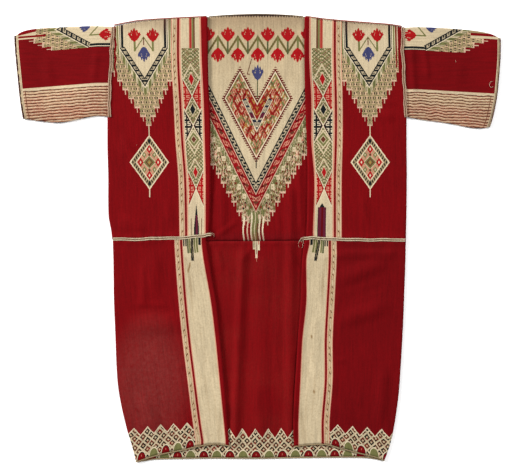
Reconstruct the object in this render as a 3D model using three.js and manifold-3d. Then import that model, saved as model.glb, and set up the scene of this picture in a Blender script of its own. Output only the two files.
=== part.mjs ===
// A hand-woven aba jacket, laid flat on its back with the two fronts turned open.
//
// It is cut the way these jackets are made. Two loom widths lie one below the other and meet in a
// seam round the waist. Each is folded forward at both sides, so one cloth is back and fronts. The
// armholes are slits in the upper side folds, where two short tube sleeves are sewn in. Cords cover
// the seams and bind the cuffs, the neck and the hem.
//
// Millimetres. +Z is up from the surface it lies on, +Y runs from the hem to the neck, and +X is the
// right-hand side as it lies. The origin is under the middle of the whole outline.
import * as THREE from "three";
import { mergeVertices } from "three/addons/utils/BufferGeometryUtils.js";
import Module from "manifold-3d";

const wasm = await Module();
wasm.setup();

const CLOTH = 1.2; // thickness of the woven cloth
const SEAM_GAP = 0.3; // clearance between two pieces that are sewn together
const WAIST_GAP = 0.5; // the same at the waist, where two wavy edges meet
const LAYER_GAP = 0.6; // air between back and front where they lie on each other
const FOLD_GAP = 2.0; // the same, inside a side fold, where the cloth turns over
const FOLD_REACH = 34; // how far in from a side fold the cloth settles down
const EDGE_LIFT = 1.3; // how far the opening edges stand up off the back
const EDGE_REACH = 24;
const FOLD_RADIUS = (CLOTH + FOLD_GAP) / 2; // middle of the cloth round a side fold
const FOLD_DEPTH = FOLD_RADIUS + CLOTH / 2; // from a fold's outermost line to its centre

// The two opening edges and the two side folds at heights up the jacket. At the waist the lower
// width is sewn on a little further out on the left, so the edges step there.
const UPPER_OUTLINE = [
  { y: -10, foldLeft: -297.8, edgeLeft: -100.6, edgeRight: 99.4, foldRight: 304.8 },
  { y: 14, foldLeft: -300.5, edgeLeft: -99.4, edgeRight: 100.2, foldRight: 305.3 },
  { y: 46, foldLeft: -306.0, edgeLeft: -97.2, edgeRight: 101.7, foldRight: 306.0 },
  { y: 130, foldLeft: -306.8, edgeLeft: -96.2, edgeRight: 102.6, foldRight: 306.8 },
  { y: 180, foldLeft: -308.2, edgeLeft: -96.5, edgeRight: 101.9, foldRight: 306.3 },
  { y: 248, foldLeft: -308.4, edgeLeft: -96.9, edgeRight: 98.8, foldRight: 306.2 },
  { y: 312, foldLeft: -308.4, edgeLeft: -100.4, edgeRight: 97.0, foldRight: 306.2 },
  { y: 406, foldLeft: -308.4, edgeLeft: -102.1, edgeRight: 95.9, foldRight: 306.2 },
  { y: 460, foldLeft: -308.4, edgeLeft: -102.7, edgeRight: 96.7, foldRight: 306.2 },
];
const LOWER_OUTLINE = [
  { y: -462, foldLeft: -249.0, edgeLeft: -57.5, edgeRight: 75.5, foldRight: 259.0 },
  { y: -427, foldLeft: -258.0, edgeLeft: -58.5, edgeRight: 74.9, foldRight: 271.5 },
  { y: -394, foldLeft: -268.0, edgeLeft: -60.5, edgeRight: 73.4, foldRight: 279.5 },
  { y: -337, foldLeft: -281.3, edgeLeft: -64.8, edgeRight: 74.8, foldRight: 288.3 },
  { y: -290, foldLeft: -288.0, edgeLeft: -68.6, edgeRight: 77.6, foldRight: 292.6 },
  { y: -190, foldLeft: -292.5, edgeLeft: -77.8, edgeRight: 84.0, foldRight: 298.6 },
  { y: -127, foldLeft: -295.0, edgeLeft: -85.2, edgeRight: 88.5, foldRight: 301.2 },
  { y: -45, foldLeft: -296.2, edgeLeft: -99.0, edgeRight: 91.6, foldRight: 304.0 },
  { y: 10, foldLeft: -298.0, edgeLeft: -107.5, edgeRight: 98.6, foldRight: 305.0 },
];

// Lines across the jacket, from left to right.
const SHOULDER = [
  { x: -308, y: 433.3 },
  { x: -274, y: 440.3 },
  { x: -241, y: 445.8 },
  { x: -176, y: 450.3 },
  { x: -108, y: 453.8 },
  { x: -61, y: 457.3 },
  { x: -1, y: 459.3 },
  { x: 54, y: 457.8 },
  { x: 96, y: 454.3 },
  { x: 137, y: 448.8 },
  { x: 186, y: 444.3 },
  { x: 235, y: 440.3 },
  { x: 272, y: 437.3 },
  { x: 306, y: 431.8 },
];
const WAIST_FRONT = [
  { x: -298, y: -2.3 },
  { x: -235, y: -2.8 },
  { x: -217, y: -0.8 },
  { x: -180, y: -0.6 },
  { x: -145, y: 0.8 },
  { x: -128, y: 3.0 },
  { x: -110, y: 4.8 },
  { x: -101, y: 7.4 },
  { x: 98, y: -1.0 },
  { x: 112, y: 0.0 },
  { x: 149, y: -2.1 },
  { x: 231, y: -4.1 },
  { x: 272, y: -3.7 },
  { x: 305, y: -5.0 },
];
const WAIST_BACK = [
  { x: -298, y: -2.5 },
  { x: -200, y: -5.0 },
  { x: -100, y: -6.2 },
  { x: 0, y: -6.2 },
  { x: 100, y: -5.4 },
  { x: 305, y: -5.0 },
];
const HEM_FRONT = [
  { x: -250, y: -458.6 },
  { x: -223, y: -450.0 },
  { x: -198, y: -443.0 },
  { x: -145, y: -432.5 },
  { x: -124, y: -427.0 },
  { x: -87, y: -422.0 },
  { x: -66, y: -424.0 },
  { x: -58, y: -425.6 },
  { x: 75, y: -427.0 },
  { x: 100, y: -424.0 },
  { x: 139, y: -423.0 },
  { x: 173, y: -431.5 },
  { x: 206, y: -440.0 },
  { x: 246, y: -449.6 },
  { x: 261, y: -455.6 },
];
const HEM_BACK = [
  { x: -250, y: -458.9 },
  { x: -229, y: -455.4 },
  { x: -208, y: -452.6 },
  { x: -93, y: -450.8 },
  { x: 5, y: -451.2 },
  { x: 110, y: -449.4 },
  { x: 214, y: -449.0 },
  { x: 235, y: -451.0 },
  { x: 261, y: -456.0 },
];

// The armhole seams, from the underarm up to the shoulder.
const ARMHOLE = [
  { y: 246, left: -303.6, right: 304.6 },
  { y: 277, left: -304.2, right: 303.2 },
  { y: 322, left: -302.9, right: 301.0 },
  { y: 366, left: -300.3, right: 298.8 },
  { y: 386, left: -299.8, right: 297.5 },
  { y: 436, left: -296.0, right: 298.6 },
];
const UNDERARM = 248.4; // the armhole slits end here

// Sleeves: along is the share of the way from the armhole to the cuff.
const SLEEVE_LEFT = [
  { along: 0.0, top: 433.9, bottom: 248.8 },
  { along: 0.14, top: 435.3, bottom: 251.0 },
  { along: 0.28, top: 435.3, bottom: 247.0 },
  { along: 0.47, top: 433.8, bottom: 239.8 },
  { along: 0.61, top: 432.4, bottom: 236.9 },
  { along: 0.82, top: 429.2, bottom: 240.2 },
  { along: 0.93, top: 424.0, bottom: 242.9 },
  { along: 1.0, top: 415.6, bottom: 244.6 },
];
const SLEEVE_RIGHT = [
  { along: 0.0, top: 432.0, bottom: 249.0 },
  { along: 0.16, top: 433.4, bottom: 243.5 },
  { along: 0.41, top: 431.4, bottom: 238.0 },
  { along: 0.6, top: 428.8, bottom: 232.4 },
  { along: 0.79, top: 424.4, bottom: 226.4 },
  { along: 0.92, top: 418.6, bottom: 225.3 },
  { along: 1.0, top: 410.6, bottom: 227.6 },
];
const CUFF = [
  { y: 226, left: -479.0, right: 474.4 },
  { y: 245, left: -479.4, right: 480.6 },
  { y: 259, left: -482.0, right: 484.0 },
  { y: 292, left: -486.6, right: 490.2 },
  { y: 320, left: -489.4, right: 493.0 },
  { y: 366, left: -494.0, right: 496.6 },
  { y: 394, left: -496.4, right: 497.3 },
  { y: 416, left: -497.3, right: 497.0 },
];
const SLEEVE_GAP = 0.8; // air inside a flattened sleeve, halfway along and across
const CUFF_GAP = 2.4; // the same, at the cuff, which stands open a little

// The largest soft folds. Each is a ridge between two points, half a width to either side of that
// line, lying either in the back cloth or in the fronts.
const FOLDS = [
  { layer: "back", x1: -60, y1: -2, x2: -44, y2: -440, half: 26, height: 3.8 },
  { layer: "back", x1: 9, y1: -4, x2: 2, y2: -436, half: 30, height: 4.4 },
  { layer: "back", x1: 66, y1: 200, x2: 54, y2: -430, half: 22, height: 4.6 },
  { layer: "back", x1: -74, y1: 130, x2: -72, y2: 4, half: 18, height: 2.6 },
  { layer: "front", x1: -286, y1: 222, x2: -246, y2: 138, half: 20, height: 2.6 },
  { layer: "front", x1: -284, y1: 46, x2: -226, y2: 12, half: 16, height: 2.2 },
  { layer: "front", x1: -214, y1: -20, x2: -214, y2: -140, half: 30, height: 2.4 },
  { layer: "front", x1: -270, y1: -176, x2: -130, y2: -172, half: 24, height: 2.6 },
  { layer: "front", x1: -240, y1: -318, x2: -190, y2: -408, half: 24, height: 3.6 },
  { layer: "front", x1: 150, y1: -112, x2: 274, y2: -76, half: 22, height: 3.2 },
  { layer: "front", x1: 140, y1: -36, x2: 290, y2: -36, half: 12, height: 1.4 },
  { layer: "front", x1: 246, y1: 262, x2: 290, y2: 246, half: 18, height: 2.4 },
  { layer: "front", x1: 262, y1: -250, x2: 250, y2: -400, half: 24, height: 2.4 },
];

// How finely the cloth is divided.
const BACK_STEPS = 32;
const FRONT_STEPS = 10;
const TURN_STEPS = 4;
const BODY_ROWS = 15;
const SLEEVE_ROWS = 8;
const SLEEVE_STEPS = 9;

// Cords: width across, height off the cloth.
const SEAM_CORD = { width: 4.8, height: 2.2, sides: 8 };
const SHOULDER_CORD = { width: 2.4, height: 2.4, sides: 6 };
const NECK_CORD = { width: 1.6, height: 1.6, sides: 6 };
const BINDING = { width: 2.2, height: 2.2, sides: 6 };
const WAIST_CORD_PAST_EDGE = 4; // its loose end passes the opening edge by this much

const COLOURS = {
  madder: { color: 0x8c1218, roughness: 0.88 },
  sleeveMadder: { color: 0x86101a, roughness: 0.88 },
  creamCord: { color: 0xcdb98c, roughness: 0.8 },
  pinkCord: { color: 0xcfa588, roughness: 0.8 },
  darkCord: { color: 0x4a3a34, roughness: 0.85 },
  neckThread: { color: 0x6d6350, roughness: 0.85 },
  oliveCord: { color: 0x8f7f4e, roughness: 0.8 },
};

const mix = (a, b, t) => a + (b - a) * t;
const clamp = (v, low, high) => Math.min(high, Math.max(low, v));
const spread = (from, to, steps) =>
  Array.from({ length: steps + 1 }, (_, k) => mix(from, to, k / steps));
const smooth = (t) => {
  const c = clamp(t, 0, 1);
  return c * c * (3 - 2 * c);
};

// The value of one column of a table where another column, which rises down the table, is `at`.
// The curve is a smooth one through every row, and flat past the ends.
function read(table, by, at, want) {
  const last = table.length - 1;
  if (at <= table[0][by]) return table[0][want];
  if (at >= table[last][by]) return table[last][want];
  let i = 0;
  while (table[i + 1][by] < at) i++;
  const slope = (k) => {
    const before = table[Math.max(0, k - 1)];
    const after = table[Math.min(last, k + 1)];
    return (after[want] - before[want]) / (after[by] - before[by]);
  };
  const span = table[i + 1][by] - table[i][by];
  const t = (at - table[i][by]) / span;
  const t2 = t * t;
  const t3 = t2 * t;
  return (
    (2 * t3 - 3 * t2 + 1) * table[i][want] +
    (t3 - 2 * t2 + t) * span * slope(i) +
    (3 * t2 - 2 * t3) * table[i + 1][want] +
    (t3 - t2) * span * slope(i + 1)
  );
}

// Height of one soft ridge at a point: highest along its line, nothing half a width away.
function ridge(fold, x, y) {
  const dx = fold.x2 - fold.x1;
  const dy = fold.y2 - fold.y1;
  const length = Math.hypot(dx, dy);
  const along = ((x - fold.x1) * dx + (y - fold.y1) * dy) / length;
  const across = ((x - fold.x1) * dy - (y - fold.y1) * dx) / length;
  const fade = Math.min(length / 2, fold.half * 2);
  const ends = smooth(along / fade) * smooth((length - along) / fade);
  const side = Math.abs(across) / fold.half;
  return side >= 1 ? 0 : fold.height * ends * Math.cos((side * Math.PI) / 2) ** 2;
}

const rise = (layer, x, y) =>
  FOLDS.filter((f) => f.layer === layer).reduce((sum, f) => sum + ridge(f, x, y), 0);

// Height of the middle of the back cloth, and of the front cloth lying on it.
const backHeight = (x, y) => CLOTH / 2 + rise("back", x, y);

function frontHeight(outline, x, y) {
  const side = x < 0 ? "Left" : "Right";
  const fromFold = Math.abs(read(outline, "y", y, `fold${side}`) - x) - FOLD_DEPTH;
  const fromEdge = Math.abs(read(outline, "y", y, `edge${side}`) - x);
  const settled = smooth(fromFold / FOLD_REACH);
  const gap = mix(FOLD_GAP, LAYER_GAP, settled);
  const lift = EDGE_LIFT * (1 - smooth(fromEdge / EDGE_REACH));
  return backHeight(x, y) + CLOTH + gap + lift * settled + settled * rise("front", x, y);
}

// A wall of cloth about a grid of points in its middle. Rows run along the piece and columns
// across it. A ring has its last column joined to its first.
function wall(grid, ring) {
  const rows = grid.length;
  const columns = grid[0].length;
  const near = (i, j) => {
    const row = grid[clamp(i, 0, rows - 1)];
    return ring ? row[(j + columns) % columns] : row[clamp(j, 0, columns - 1)];
  };
  const faces = [[], []];
  for (let i = 0; i < rows; i++) {
    for (let j = 0; j < columns; j++) {
      const across = near(i, j + 1).clone().sub(near(i, j - 1));
      const down = near(i + 1, j).clone().sub(near(i - 1, j));
      const out = down.cross(across).normalize().multiplyScalar(CLOTH / 2);
      faces[0].push(grid[i][j].clone().add(out));
      faces[1].push(grid[i][j].clone().sub(out));
    }
  }
  const count = rows * columns;
  const at = (side, i, j) => side * count + i * columns + (ring ? j % columns : j);
  const index = [];
  const quad = (a, b, c, d) => index.push(a, b, c, a, c, d);
  const across = ring ? columns : columns - 1;
  for (let j = 0; j < across; j++) {
    for (let i = 0; i < rows - 1; i++) {
      quad(at(0, i, j), at(0, i + 1, j), at(0, i + 1, j + 1), at(0, i, j + 1));
      quad(at(1, i, j), at(1, i, j + 1), at(1, i + 1, j + 1), at(1, i + 1, j));
    }
    quad(at(0, 0, j), at(0, 0, j + 1), at(1, 0, j + 1), at(1, 0, j));
    const end = rows - 1;
    quad(at(0, end, j), at(1, end, j), at(1, end, j + 1), at(0, end, j + 1));
  }
  if (!ring) {
    const edge = columns - 1;
    for (let i = 0; i < rows - 1; i++) {
      quad(at(0, i, 0), at(1, i, 0), at(1, i + 1, 0), at(0, i + 1, 0));
      quad(at(0, i, edge), at(0, i + 1, edge), at(1, i + 1, edge), at(1, i, edge));
    }
  }
  return meshOf(faces.flat(), index);
}

function meshOf(points, index) {
  const geometry = new THREE.BufferGeometry().setFromPoints(points);
  geometry.setIndex(index);
  return geometry;
}

// An oval cord along a line of points. `level` is the direction of the section's height, as far as
// the line allows. A loop has no ends.
function cord(points, size, level, loop = false) {
  const path = new THREE.CatmullRomCurve3(points, loop);
  const steps = points.length * 2 - 2;
  const rings = loop ? steps : steps + 1;
  const all = [];
  for (let i = 0; i < rings; i++) {
    const t = i / steps;
    const along = path.getTangent(t);
    const up = level.clone().addScaledVector(along, -level.dot(along)).normalize();
    const side = up.clone().cross(along);
    const centre = path.getPoint(t);
    for (let k = 0; k < size.sides; k++) {
      const turn = ((k + 0.5) / size.sides) * Math.PI * 2;
      all.push(
        centre
          .clone()
          .addScaledVector(side, (Math.cos(turn) * size.width) / 2)
          .addScaledVector(up, (Math.sin(turn) * size.height) / 2),
      );
    }
  }
  const at = (i, k) => (i % rings) * size.sides + (k % size.sides);
  const index = [];
  for (let i = 0; i < (loop ? rings : rings - 1); i++) {
    for (let k = 0; k < size.sides; k++) {
      index.push(at(i, k), at(i, k + 1), at(i + 1, k + 1));
      index.push(at(i, k), at(i + 1, k + 1), at(i + 1, k));
    }
  }
  if (!loop) {
    for (let k = 1; k < size.sides - 1; k++) {
      index.push(at(0, 0), at(0, k + 1), at(0, k));
      index.push(at(rings - 1, 0), at(rings - 1, k), at(rings - 1, k + 1));
    }
  }
  return meshOf(all, index);
}

// Across one loom width, from the left opening edge out to the left fold, round it, across the
// back, round the right fold and in to the right opening edge.
function widthColumns() {
  const columns = [];
  const add = (part, side, shares) => shares.forEach((share) => columns.push({ part, side, share }));
  add("front", "Left", spread(0, 1, FRONT_STEPS));
  add("turn", "Left", spread(0, 1, TURN_STEPS).slice(1, -1));
  add("back", "", spread(0, 1, BACK_STEPS));
  add("turn", "Right", spread(1, 0, TURN_STEPS).slice(1, -1));
  add("front", "Right", spread(1, 0, FRONT_STEPS));
  return columns;
}

// Where one column of a loom width lies at height y.
function widthPoint(outline, column, y) {
  const foldLeft = read(outline, "y", y, "foldLeft") + FOLD_DEPTH;
  const foldRight = read(outline, "y", y, "foldRight") - FOLD_DEPTH;
  if (column.part === "back") {
    const x = mix(foldLeft, foldRight, column.share);
    return new THREE.Vector3(x, y, backHeight(x, y));
  }
  const fold = column.side === "Left" ? foldLeft : foldRight;
  if (column.part === "front") {
    const x = mix(read(outline, "y", y, `edge${column.side}`), fold, column.share);
    return new THREE.Vector3(x, y, frontHeight(outline, x, y));
  }
  const turn = Math.PI * (0.5 - column.share); // from the front, over the outside, to the back
  const out = column.side === "Left" ? -1 : 1;
  return new THREE.Vector3(
    fold + out * FOLD_RADIUS * Math.cos(turn),
    y,
    CLOTH / 2 + FOLD_RADIUS * (1 + Math.sin(turn)),
  );
}

// A line across the jacket, read where a column meets it. Round a fold it goes evenly from the
// front's line to the back's.
function lineAt(column, outline, nominal, front, back) {
  const x = widthPoint(outline, column, nominal).x;
  if (column.part === "front") return read(front, "x", x, "y");
  if (column.part === "back") return read(back, "x", x, "y");
  return mix(read(front, "x", x, "y"), read(back, "x", x, "y"), column.share);
}

// One loom width between two lines, each with a front and a back course.
function loomWidth(outline, low, high) {
  const columns = widthColumns();
  const ends = columns.map((column) => ({
    low: lineAt(column, outline, low.nominal, low.front, low.back) + low.gap,
    high: lineAt(column, outline, high.nominal, high.front, high.back) - high.gap,
  }));
  const grid = spread(1, 0, BODY_ROWS).map((share) =>
    columns.map((column, j) => {
      const y = mix(ends[j].low, ends[j].high, share);
      return widthPoint(outline, column, y);
    }),
  );
  return wall(grid, false);
}

// The closed solid of a geometry, and back.
function solidOf(geometry) {
  const bare = mergeVertices(geometry, 1e-4);
  return new wasm.Manifold(
    new wasm.Mesh({
      numProp: 3,
      vertProperties: new Float32Array(bare.attributes.position.array),
      triVerts: new Uint32Array(bare.index.array),
    }),
  );
}

function geometryOf(solid) {
  const mesh = solid.getMesh();
  const geometry = new THREE.BufferGeometry();
  geometry.setAttribute("position", new THREE.BufferAttribute(mesh.vertProperties, 3));
  geometry.setIndex(new THREE.BufferAttribute(mesh.triVerts, 1));
  return geometry;
}

// What an armhole slit takes away: everything outside the armhole seam, above the underarm.
function armholeSlit(side) {
  const out = side === "left" ? -1 : 1;
  const far = 330 * out;
  const top = 470;
  const seam = spread(UNDERARM, ARMHOLE.at(-1).y, 12).map((y) => [read(ARMHOLE, "y", y, side), y]);
  const outline = [...seam, [seam.at(-1)[0], top], [far, top], [far, UNDERARM]];
  const shape = new THREE.Shape(outline.map(([x, y]) => new THREE.Vector2(x, y)));
  const slit = new THREE.ExtrudeGeometry(shape, { depth: 40, bevelEnabled: false });
  slit.translate(0, 0, -10);
  slit.deleteAttribute("normal");
  slit.deleteAttribute("uv");
  return solidOf(slit);
}

function upperWidth() {
  const cloth = loomWidth(
    UPPER_OUTLINE,
    { front: WAIST_FRONT, back: WAIST_BACK, nominal: 0, gap: WAIST_GAP / 2 },
    { front: SHOULDER, back: SHOULDER, nominal: SHOULDER[0].y, gap: 0 },
  );
  return geometryOf(
    solidOf(cloth).subtract(armholeSlit("left")).subtract(armholeSlit("right")),
  );
}

function lowerWidth() {
  return loomWidth(
    LOWER_OUTLINE,
    { front: HEM_FRONT, back: HEM_BACK, nominal: HEM_FRONT[0].y, gap: 0 },
    { front: WAIST_FRONT, back: WAIST_BACK, nominal: 0, gap: WAIST_GAP / 2 },
  );
}

// Air between a sleeve's two layers: the fold's at its long edges and at the armhole, open at the
// cuff, and nearly closed in the middle.
function sleeveGap(along, across) {
  const fromEdge = Math.min(across, 1 - across) * 2;
  const fromEnds = Math.min(along / 0.3, 1);
  const flat = mix(FOLD_GAP, SLEEVE_GAP, smooth(fromEdge * 2) * smooth(fromEnds));
  return mix(flat, CUFF_GAP, smooth((along - 0.7) / 0.3) * smooth(fromEdge * 2));
}

// A short tube sleeve, pressed flat. Each section is a ring: along the lower layer from underarm
// to top, over the top fold, back along the upper layer and round the underarm.
function sleeve(table, side) {
  const out = side === "left" ? -1 : 1;
  const grid = spread(0, 1, SLEEVE_ROWS).map((along) => {
    const top = read(table, "along", along, "top") - FOLD_DEPTH;
    const bottom = read(table, "along", along, "bottom") + FOLD_DEPTH;
    const at = (y, z) => {
      const from = read(ARMHOLE, "y", y, side) + out * SEAM_GAP;
      return new THREE.Vector3(mix(from, read(CUFF, "y", y, side), along), y, z);
    };
    const middle = CLOTH / 2 + FOLD_RADIUS;
    const turn = (y, way) =>
      spread(-Math.PI / 2, Math.PI / 2, TURN_STEPS)
        .slice(1, -1)
        .map((a) =>
          at(y + way * FOLD_RADIUS * Math.cos(a), middle + way * FOLD_RADIUS * Math.sin(a)),
        );
    const lower = spread(0, 1, SLEEVE_STEPS).map((s) => at(mix(bottom, top, s), CLOTH / 2));
    const upper = spread(1, 0, SLEEVE_STEPS).map((s) =>
      at(mix(bottom, top, s), CLOTH / 2 + CLOTH + sleeveGap(along, s)),
    );
    const ring = [...lower, ...turn(top, 1), ...upper, ...turn(bottom, -1)];
    return side === "left" ? ring : ring.reverse();
  });
  return wall(grid, true);
}

const UP = new THREE.Vector3(0, 0, 1);
const onTop = (size) => CLOTH / 2 + SEAM_GAP + size.height / 2;

// The highest the front cloth lies under a cord that crosses a point.
function highest(x, y) {
  const reach = SEAM_CORD.width;
  const near = [-reach, 0, reach];
  const heights = [UPPER_OUTLINE, LOWER_OUTLINE].map((outline) =>
    near.map((dx) => near.map((dy) => frontHeight(outline, x + dx, y + dy))),
  );
  return Math.max(...heights.flat(2));
}

// The couched double cord over the waist seam of one front, from the side fold to just past the
// opening edge.
function waistCord(side) {
  const fold = read(UPPER_OUTLINE, "y", 0, `fold${side}`);
  const edge = read(UPPER_OUTLINE, "y", 0, `edge${side}`);
  const inward = side === "Left" ? 1 : -1;
  const rest = 0.4; // its ends sink a little below its line along the front
  const points = spread(fold + inward * FOLD_DEPTH, edge + inward * WAIST_CORD_PAST_EDGE, 18).map((x) => {
    const y = read(WAIST_FRONT, "x", x, "y");
    return new THREE.Vector3(x, y, highest(x, y) + onTop(SEAM_CORD));
  });
  points.at(-1).z -= rest;
  return cord(points, SEAM_CORD, UP);
}

// The double cord over an armhole seam, from the shoulder to the underarm.
function armholeCord(side) {
  const points = spread(431, UNDERARM + 3, 11).map((y) => {
    const x = read(ARMHOLE, "y", y, side);
    return new THREE.Vector3(x, y, CLOTH / 2 + 2 * FOLD_RADIUS + onTop(SEAM_CORD));
  });
  return cord(points, SEAM_CORD, UP);
}

// The twisted cord along one shoulder seam, against the top edges of front and back.
function shoulderCord(from, to) {
  const points = spread(from, to, 9).map((x) => {
    const y = read(SHOULDER, "x", x, "y");
    const z = (backHeight(x, y) + frontHeight(UPPER_OUTLINE, x, y)) / 2;
    return new THREE.Vector3(x, y + SEAM_GAP + SHOULDER_CORD.width / 2, z);
  });
  return cord(points, SHOULDER_CORD, UP);
}

// The overcast thread along the back of the neck.
function neckCord(from, to) {
  const points = spread(from, to, 9).map((x) => {
    const y = read(SHOULDER, "x", x, "y") + SEAM_GAP + NECK_CORD.width / 2;
    return new THREE.Vector3(x, y, NECK_CORD.height / 2 + 0.1);
  });
  return cord(points, NECK_CORD, UP);
}

// The binding round a cuff, a loop against the ends of both layers.
function cuffBinding(table, side) {
  const out = side === "left" ? -1 : 1;
  const low = BINDING.height / 2 + 0.1;
  const high = CLOTH / 2 + CLOTH + CUFF_GAP;
  const radius = (high - low) / 2;
  const top = read(table, "along", 1, "top") - FOLD_DEPTH;
  const bottom = read(table, "along", 1, "bottom") + FOLD_DEPTH;
  const past = out * (SEAM_GAP + BINDING.width / 2 + 0.2);
  const at = (y, z) => new THREE.Vector3(read(CUFF, "y", y, side) + past, y, z);
  const turn = (y, way) =>
    spread(-Math.PI / 2, Math.PI / 2, 4)
      .slice(1, -1)
      .map((a) => at(y + way * radius * Math.cos(a), low + radius * (1 + way * Math.sin(a))));
  const points = [
    ...spread(bottom, top, 8).map((y) => at(y, low)),
    ...turn(top, 1),
    ...spread(top, bottom, 8).map((y) => at(y, high)),
    ...turn(bottom, -1),
  ];
  return cord(points, BINDING, new THREE.Vector3(1, 0, 0), true);
}

// The cord round the hem: along the left front, round the left fold, across under the back's edge
// and up again along the right front. The fronts' hems lie higher up the jacket than the back's.
function hemCord() {
  const down = SEAM_GAP + BINDING.width / 2 + 0.1;
  const low = BINDING.height / 2 + 0.1;
  const floorLine = (x) => new THREE.Vector3(x, read(HEM_BACK, "x", x, "y") - down, low);
  const frontLine = (x) => {
    const y = read(HEM_FRONT, "x", x, "y") - down;
    const onBack = CLOTH / 2 + backHeight(x, y) + SEAM_GAP + BINDING.height / 2;
    return new THREE.Vector3(x, y, Math.max(onBack, frontHeight(LOWER_OUTLINE, x, y)));
  };
  const corner = (side, out) => {
    const y = read(HEM_FRONT, "x", out * 300, "y");
    const fold = read(LOWER_OUTLINE, "y", y, `fold${side}`) - out * FOLD_DEPTH;
    const front = frontLine(fold);
    const back = floorLine(fold);
    const radius = (front.z - back.z) / 2;
    const middle = front.clone().add(back).multiplyScalar(0.5);
    return spread(-Math.PI / 2, Math.PI / 2, 4).map((a) =>
      new THREE.Vector3(
        fold + out * radius * Math.cos(a),
        mix(back.y, front.y, (1 + Math.sin(a)) / 2),
        middle.z + radius * Math.sin(a),
      ),
    );
  };
  const left = corner("Left", -1).reverse();
  const right = corner("Right", 1);
  const points = [
    ...spread(-59.5, left[0].x, 10).slice(0, -1).map(frontLine),
    ...left,
    ...spread(left.at(-1).x, right[0].x, 20).slice(1, -1).map(floorLine),
    ...right,
    ...spread(right.at(-1).x, 76, 10).slice(1).map(frontLine),
  ];
  return cord(points, BINDING, new THREE.Vector3(0, 1, 0));
}

const garment = new THREE.Group();

function add(name, geometry, finish) {
  geometry.computeVertexNormals();
  const mesh = new THREE.Mesh(geometry, new THREE.MeshStandardMaterial({ metalness: 0, ...finish }));
  mesh.name = name;
  garment.add(mesh);
}

add("upper_width", upperWidth(), COLOURS.madder);
add("lower_width", lowerWidth(), COLOURS.madder);
add("sleeve_left", sleeve(SLEEVE_LEFT, "left"), COLOURS.sleeveMadder);
add("sleeve_right", sleeve(SLEEVE_RIGHT, "right"), COLOURS.sleeveMadder);
add("waist_cord_left", waistCord("Left"), COLOURS.creamCord);
add("waist_cord_right", waistCord("Right"), COLOURS.creamCord);
add("armhole_cord_left", armholeCord("left"), COLOURS.pinkCord);
add("armhole_cord_right", armholeCord("right"), COLOURS.pinkCord);
add("cuff_binding_left", cuffBinding(SLEEVE_LEFT, "left"), COLOURS.darkCord);
add("cuff_binding_right", cuffBinding(SLEEVE_RIGHT, "right"), COLOURS.darkCord);
add("shoulder_cord_left", shoulderCord(-294, -105), COLOURS.darkCord);
add("shoulder_cord_right", shoulderCord(99, 296), COLOURS.darkCord);
add("neck_cord", neckCord(-99.5, 93.5), COLOURS.neckThread);
add("hem_cord", hemCord(), COLOURS.oliveCord);

export default garment;
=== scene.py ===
"""A hand-woven aba jacket, laid flat on its back, as a Blender add-on that is run as a script.

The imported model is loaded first, as a fixed frame. One operator then makes each kind of piece: the
two loom widths, the sleeves, the cords, the bindings and the loose threads. Another lays the floor
and sets the lights and the camera. Each piece stands for the plain solid of the same name.

Sizes in the tables are millimetres, as the cloth is measured. +Y runs from the hem to the neck.
"""

import math

import bmesh
import bpy
import numpy as np
from bpy.props import FloatProperty, FloatVectorProperty, PointerProperty
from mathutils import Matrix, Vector


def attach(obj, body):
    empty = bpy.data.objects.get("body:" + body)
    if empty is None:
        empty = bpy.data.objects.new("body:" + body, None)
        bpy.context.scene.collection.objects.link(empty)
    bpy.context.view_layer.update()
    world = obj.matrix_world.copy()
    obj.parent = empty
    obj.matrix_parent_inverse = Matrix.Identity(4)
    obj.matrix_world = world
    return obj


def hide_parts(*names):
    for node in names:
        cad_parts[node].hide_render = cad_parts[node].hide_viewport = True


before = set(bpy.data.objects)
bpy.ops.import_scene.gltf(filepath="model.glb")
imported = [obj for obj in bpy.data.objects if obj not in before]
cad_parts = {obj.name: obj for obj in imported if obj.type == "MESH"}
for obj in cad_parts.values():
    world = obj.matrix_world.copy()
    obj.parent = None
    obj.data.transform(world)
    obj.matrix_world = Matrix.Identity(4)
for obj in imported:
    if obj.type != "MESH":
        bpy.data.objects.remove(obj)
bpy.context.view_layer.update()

bl_info = {
    "name": "Aba jacket",
    "version": (1, 0, 0),
    "blender": (4, 5, 0),
    "location": "3D View > Sidebar > Jacket",
    "description": "Makes a flat-laid aba jacket in tapestry weave, piece by piece",
    "category": "Add Mesh",
}

MM = 0.001

# The cloth and the way it lies, as in the plain solids.
CLOTH = 1.2  # thickness
LAYER_GAP = 0.6  # air between back and front
FOLD_GAP = 2.0  # the same, inside a side fold
FOLD_REACH = 34  # how far in from a side fold the cloth settles down
EDGE_LIFT = 1.3  # how far the opening edges stand up off the back
EDGE_REACH = 24
FOLD_RADIUS = (CLOTH + FOLD_GAP) / 2
FOLD_DEPTH = FOLD_RADIUS + CLOTH / 2
GRID = 4.0  # the cloth is divided about this finely
FRONT_COLUMNS = 53
TURN_COLUMNS = 9
BACK_COLUMNS = 152
STRAND_CLEARANCE = 0.03  # least height of a cord's surface above the floor


def table(names, *rows):
    """A short table of measurements, with a name for each column."""
    return dict(zip(names.split(), np.array(rows, float).T))


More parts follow.
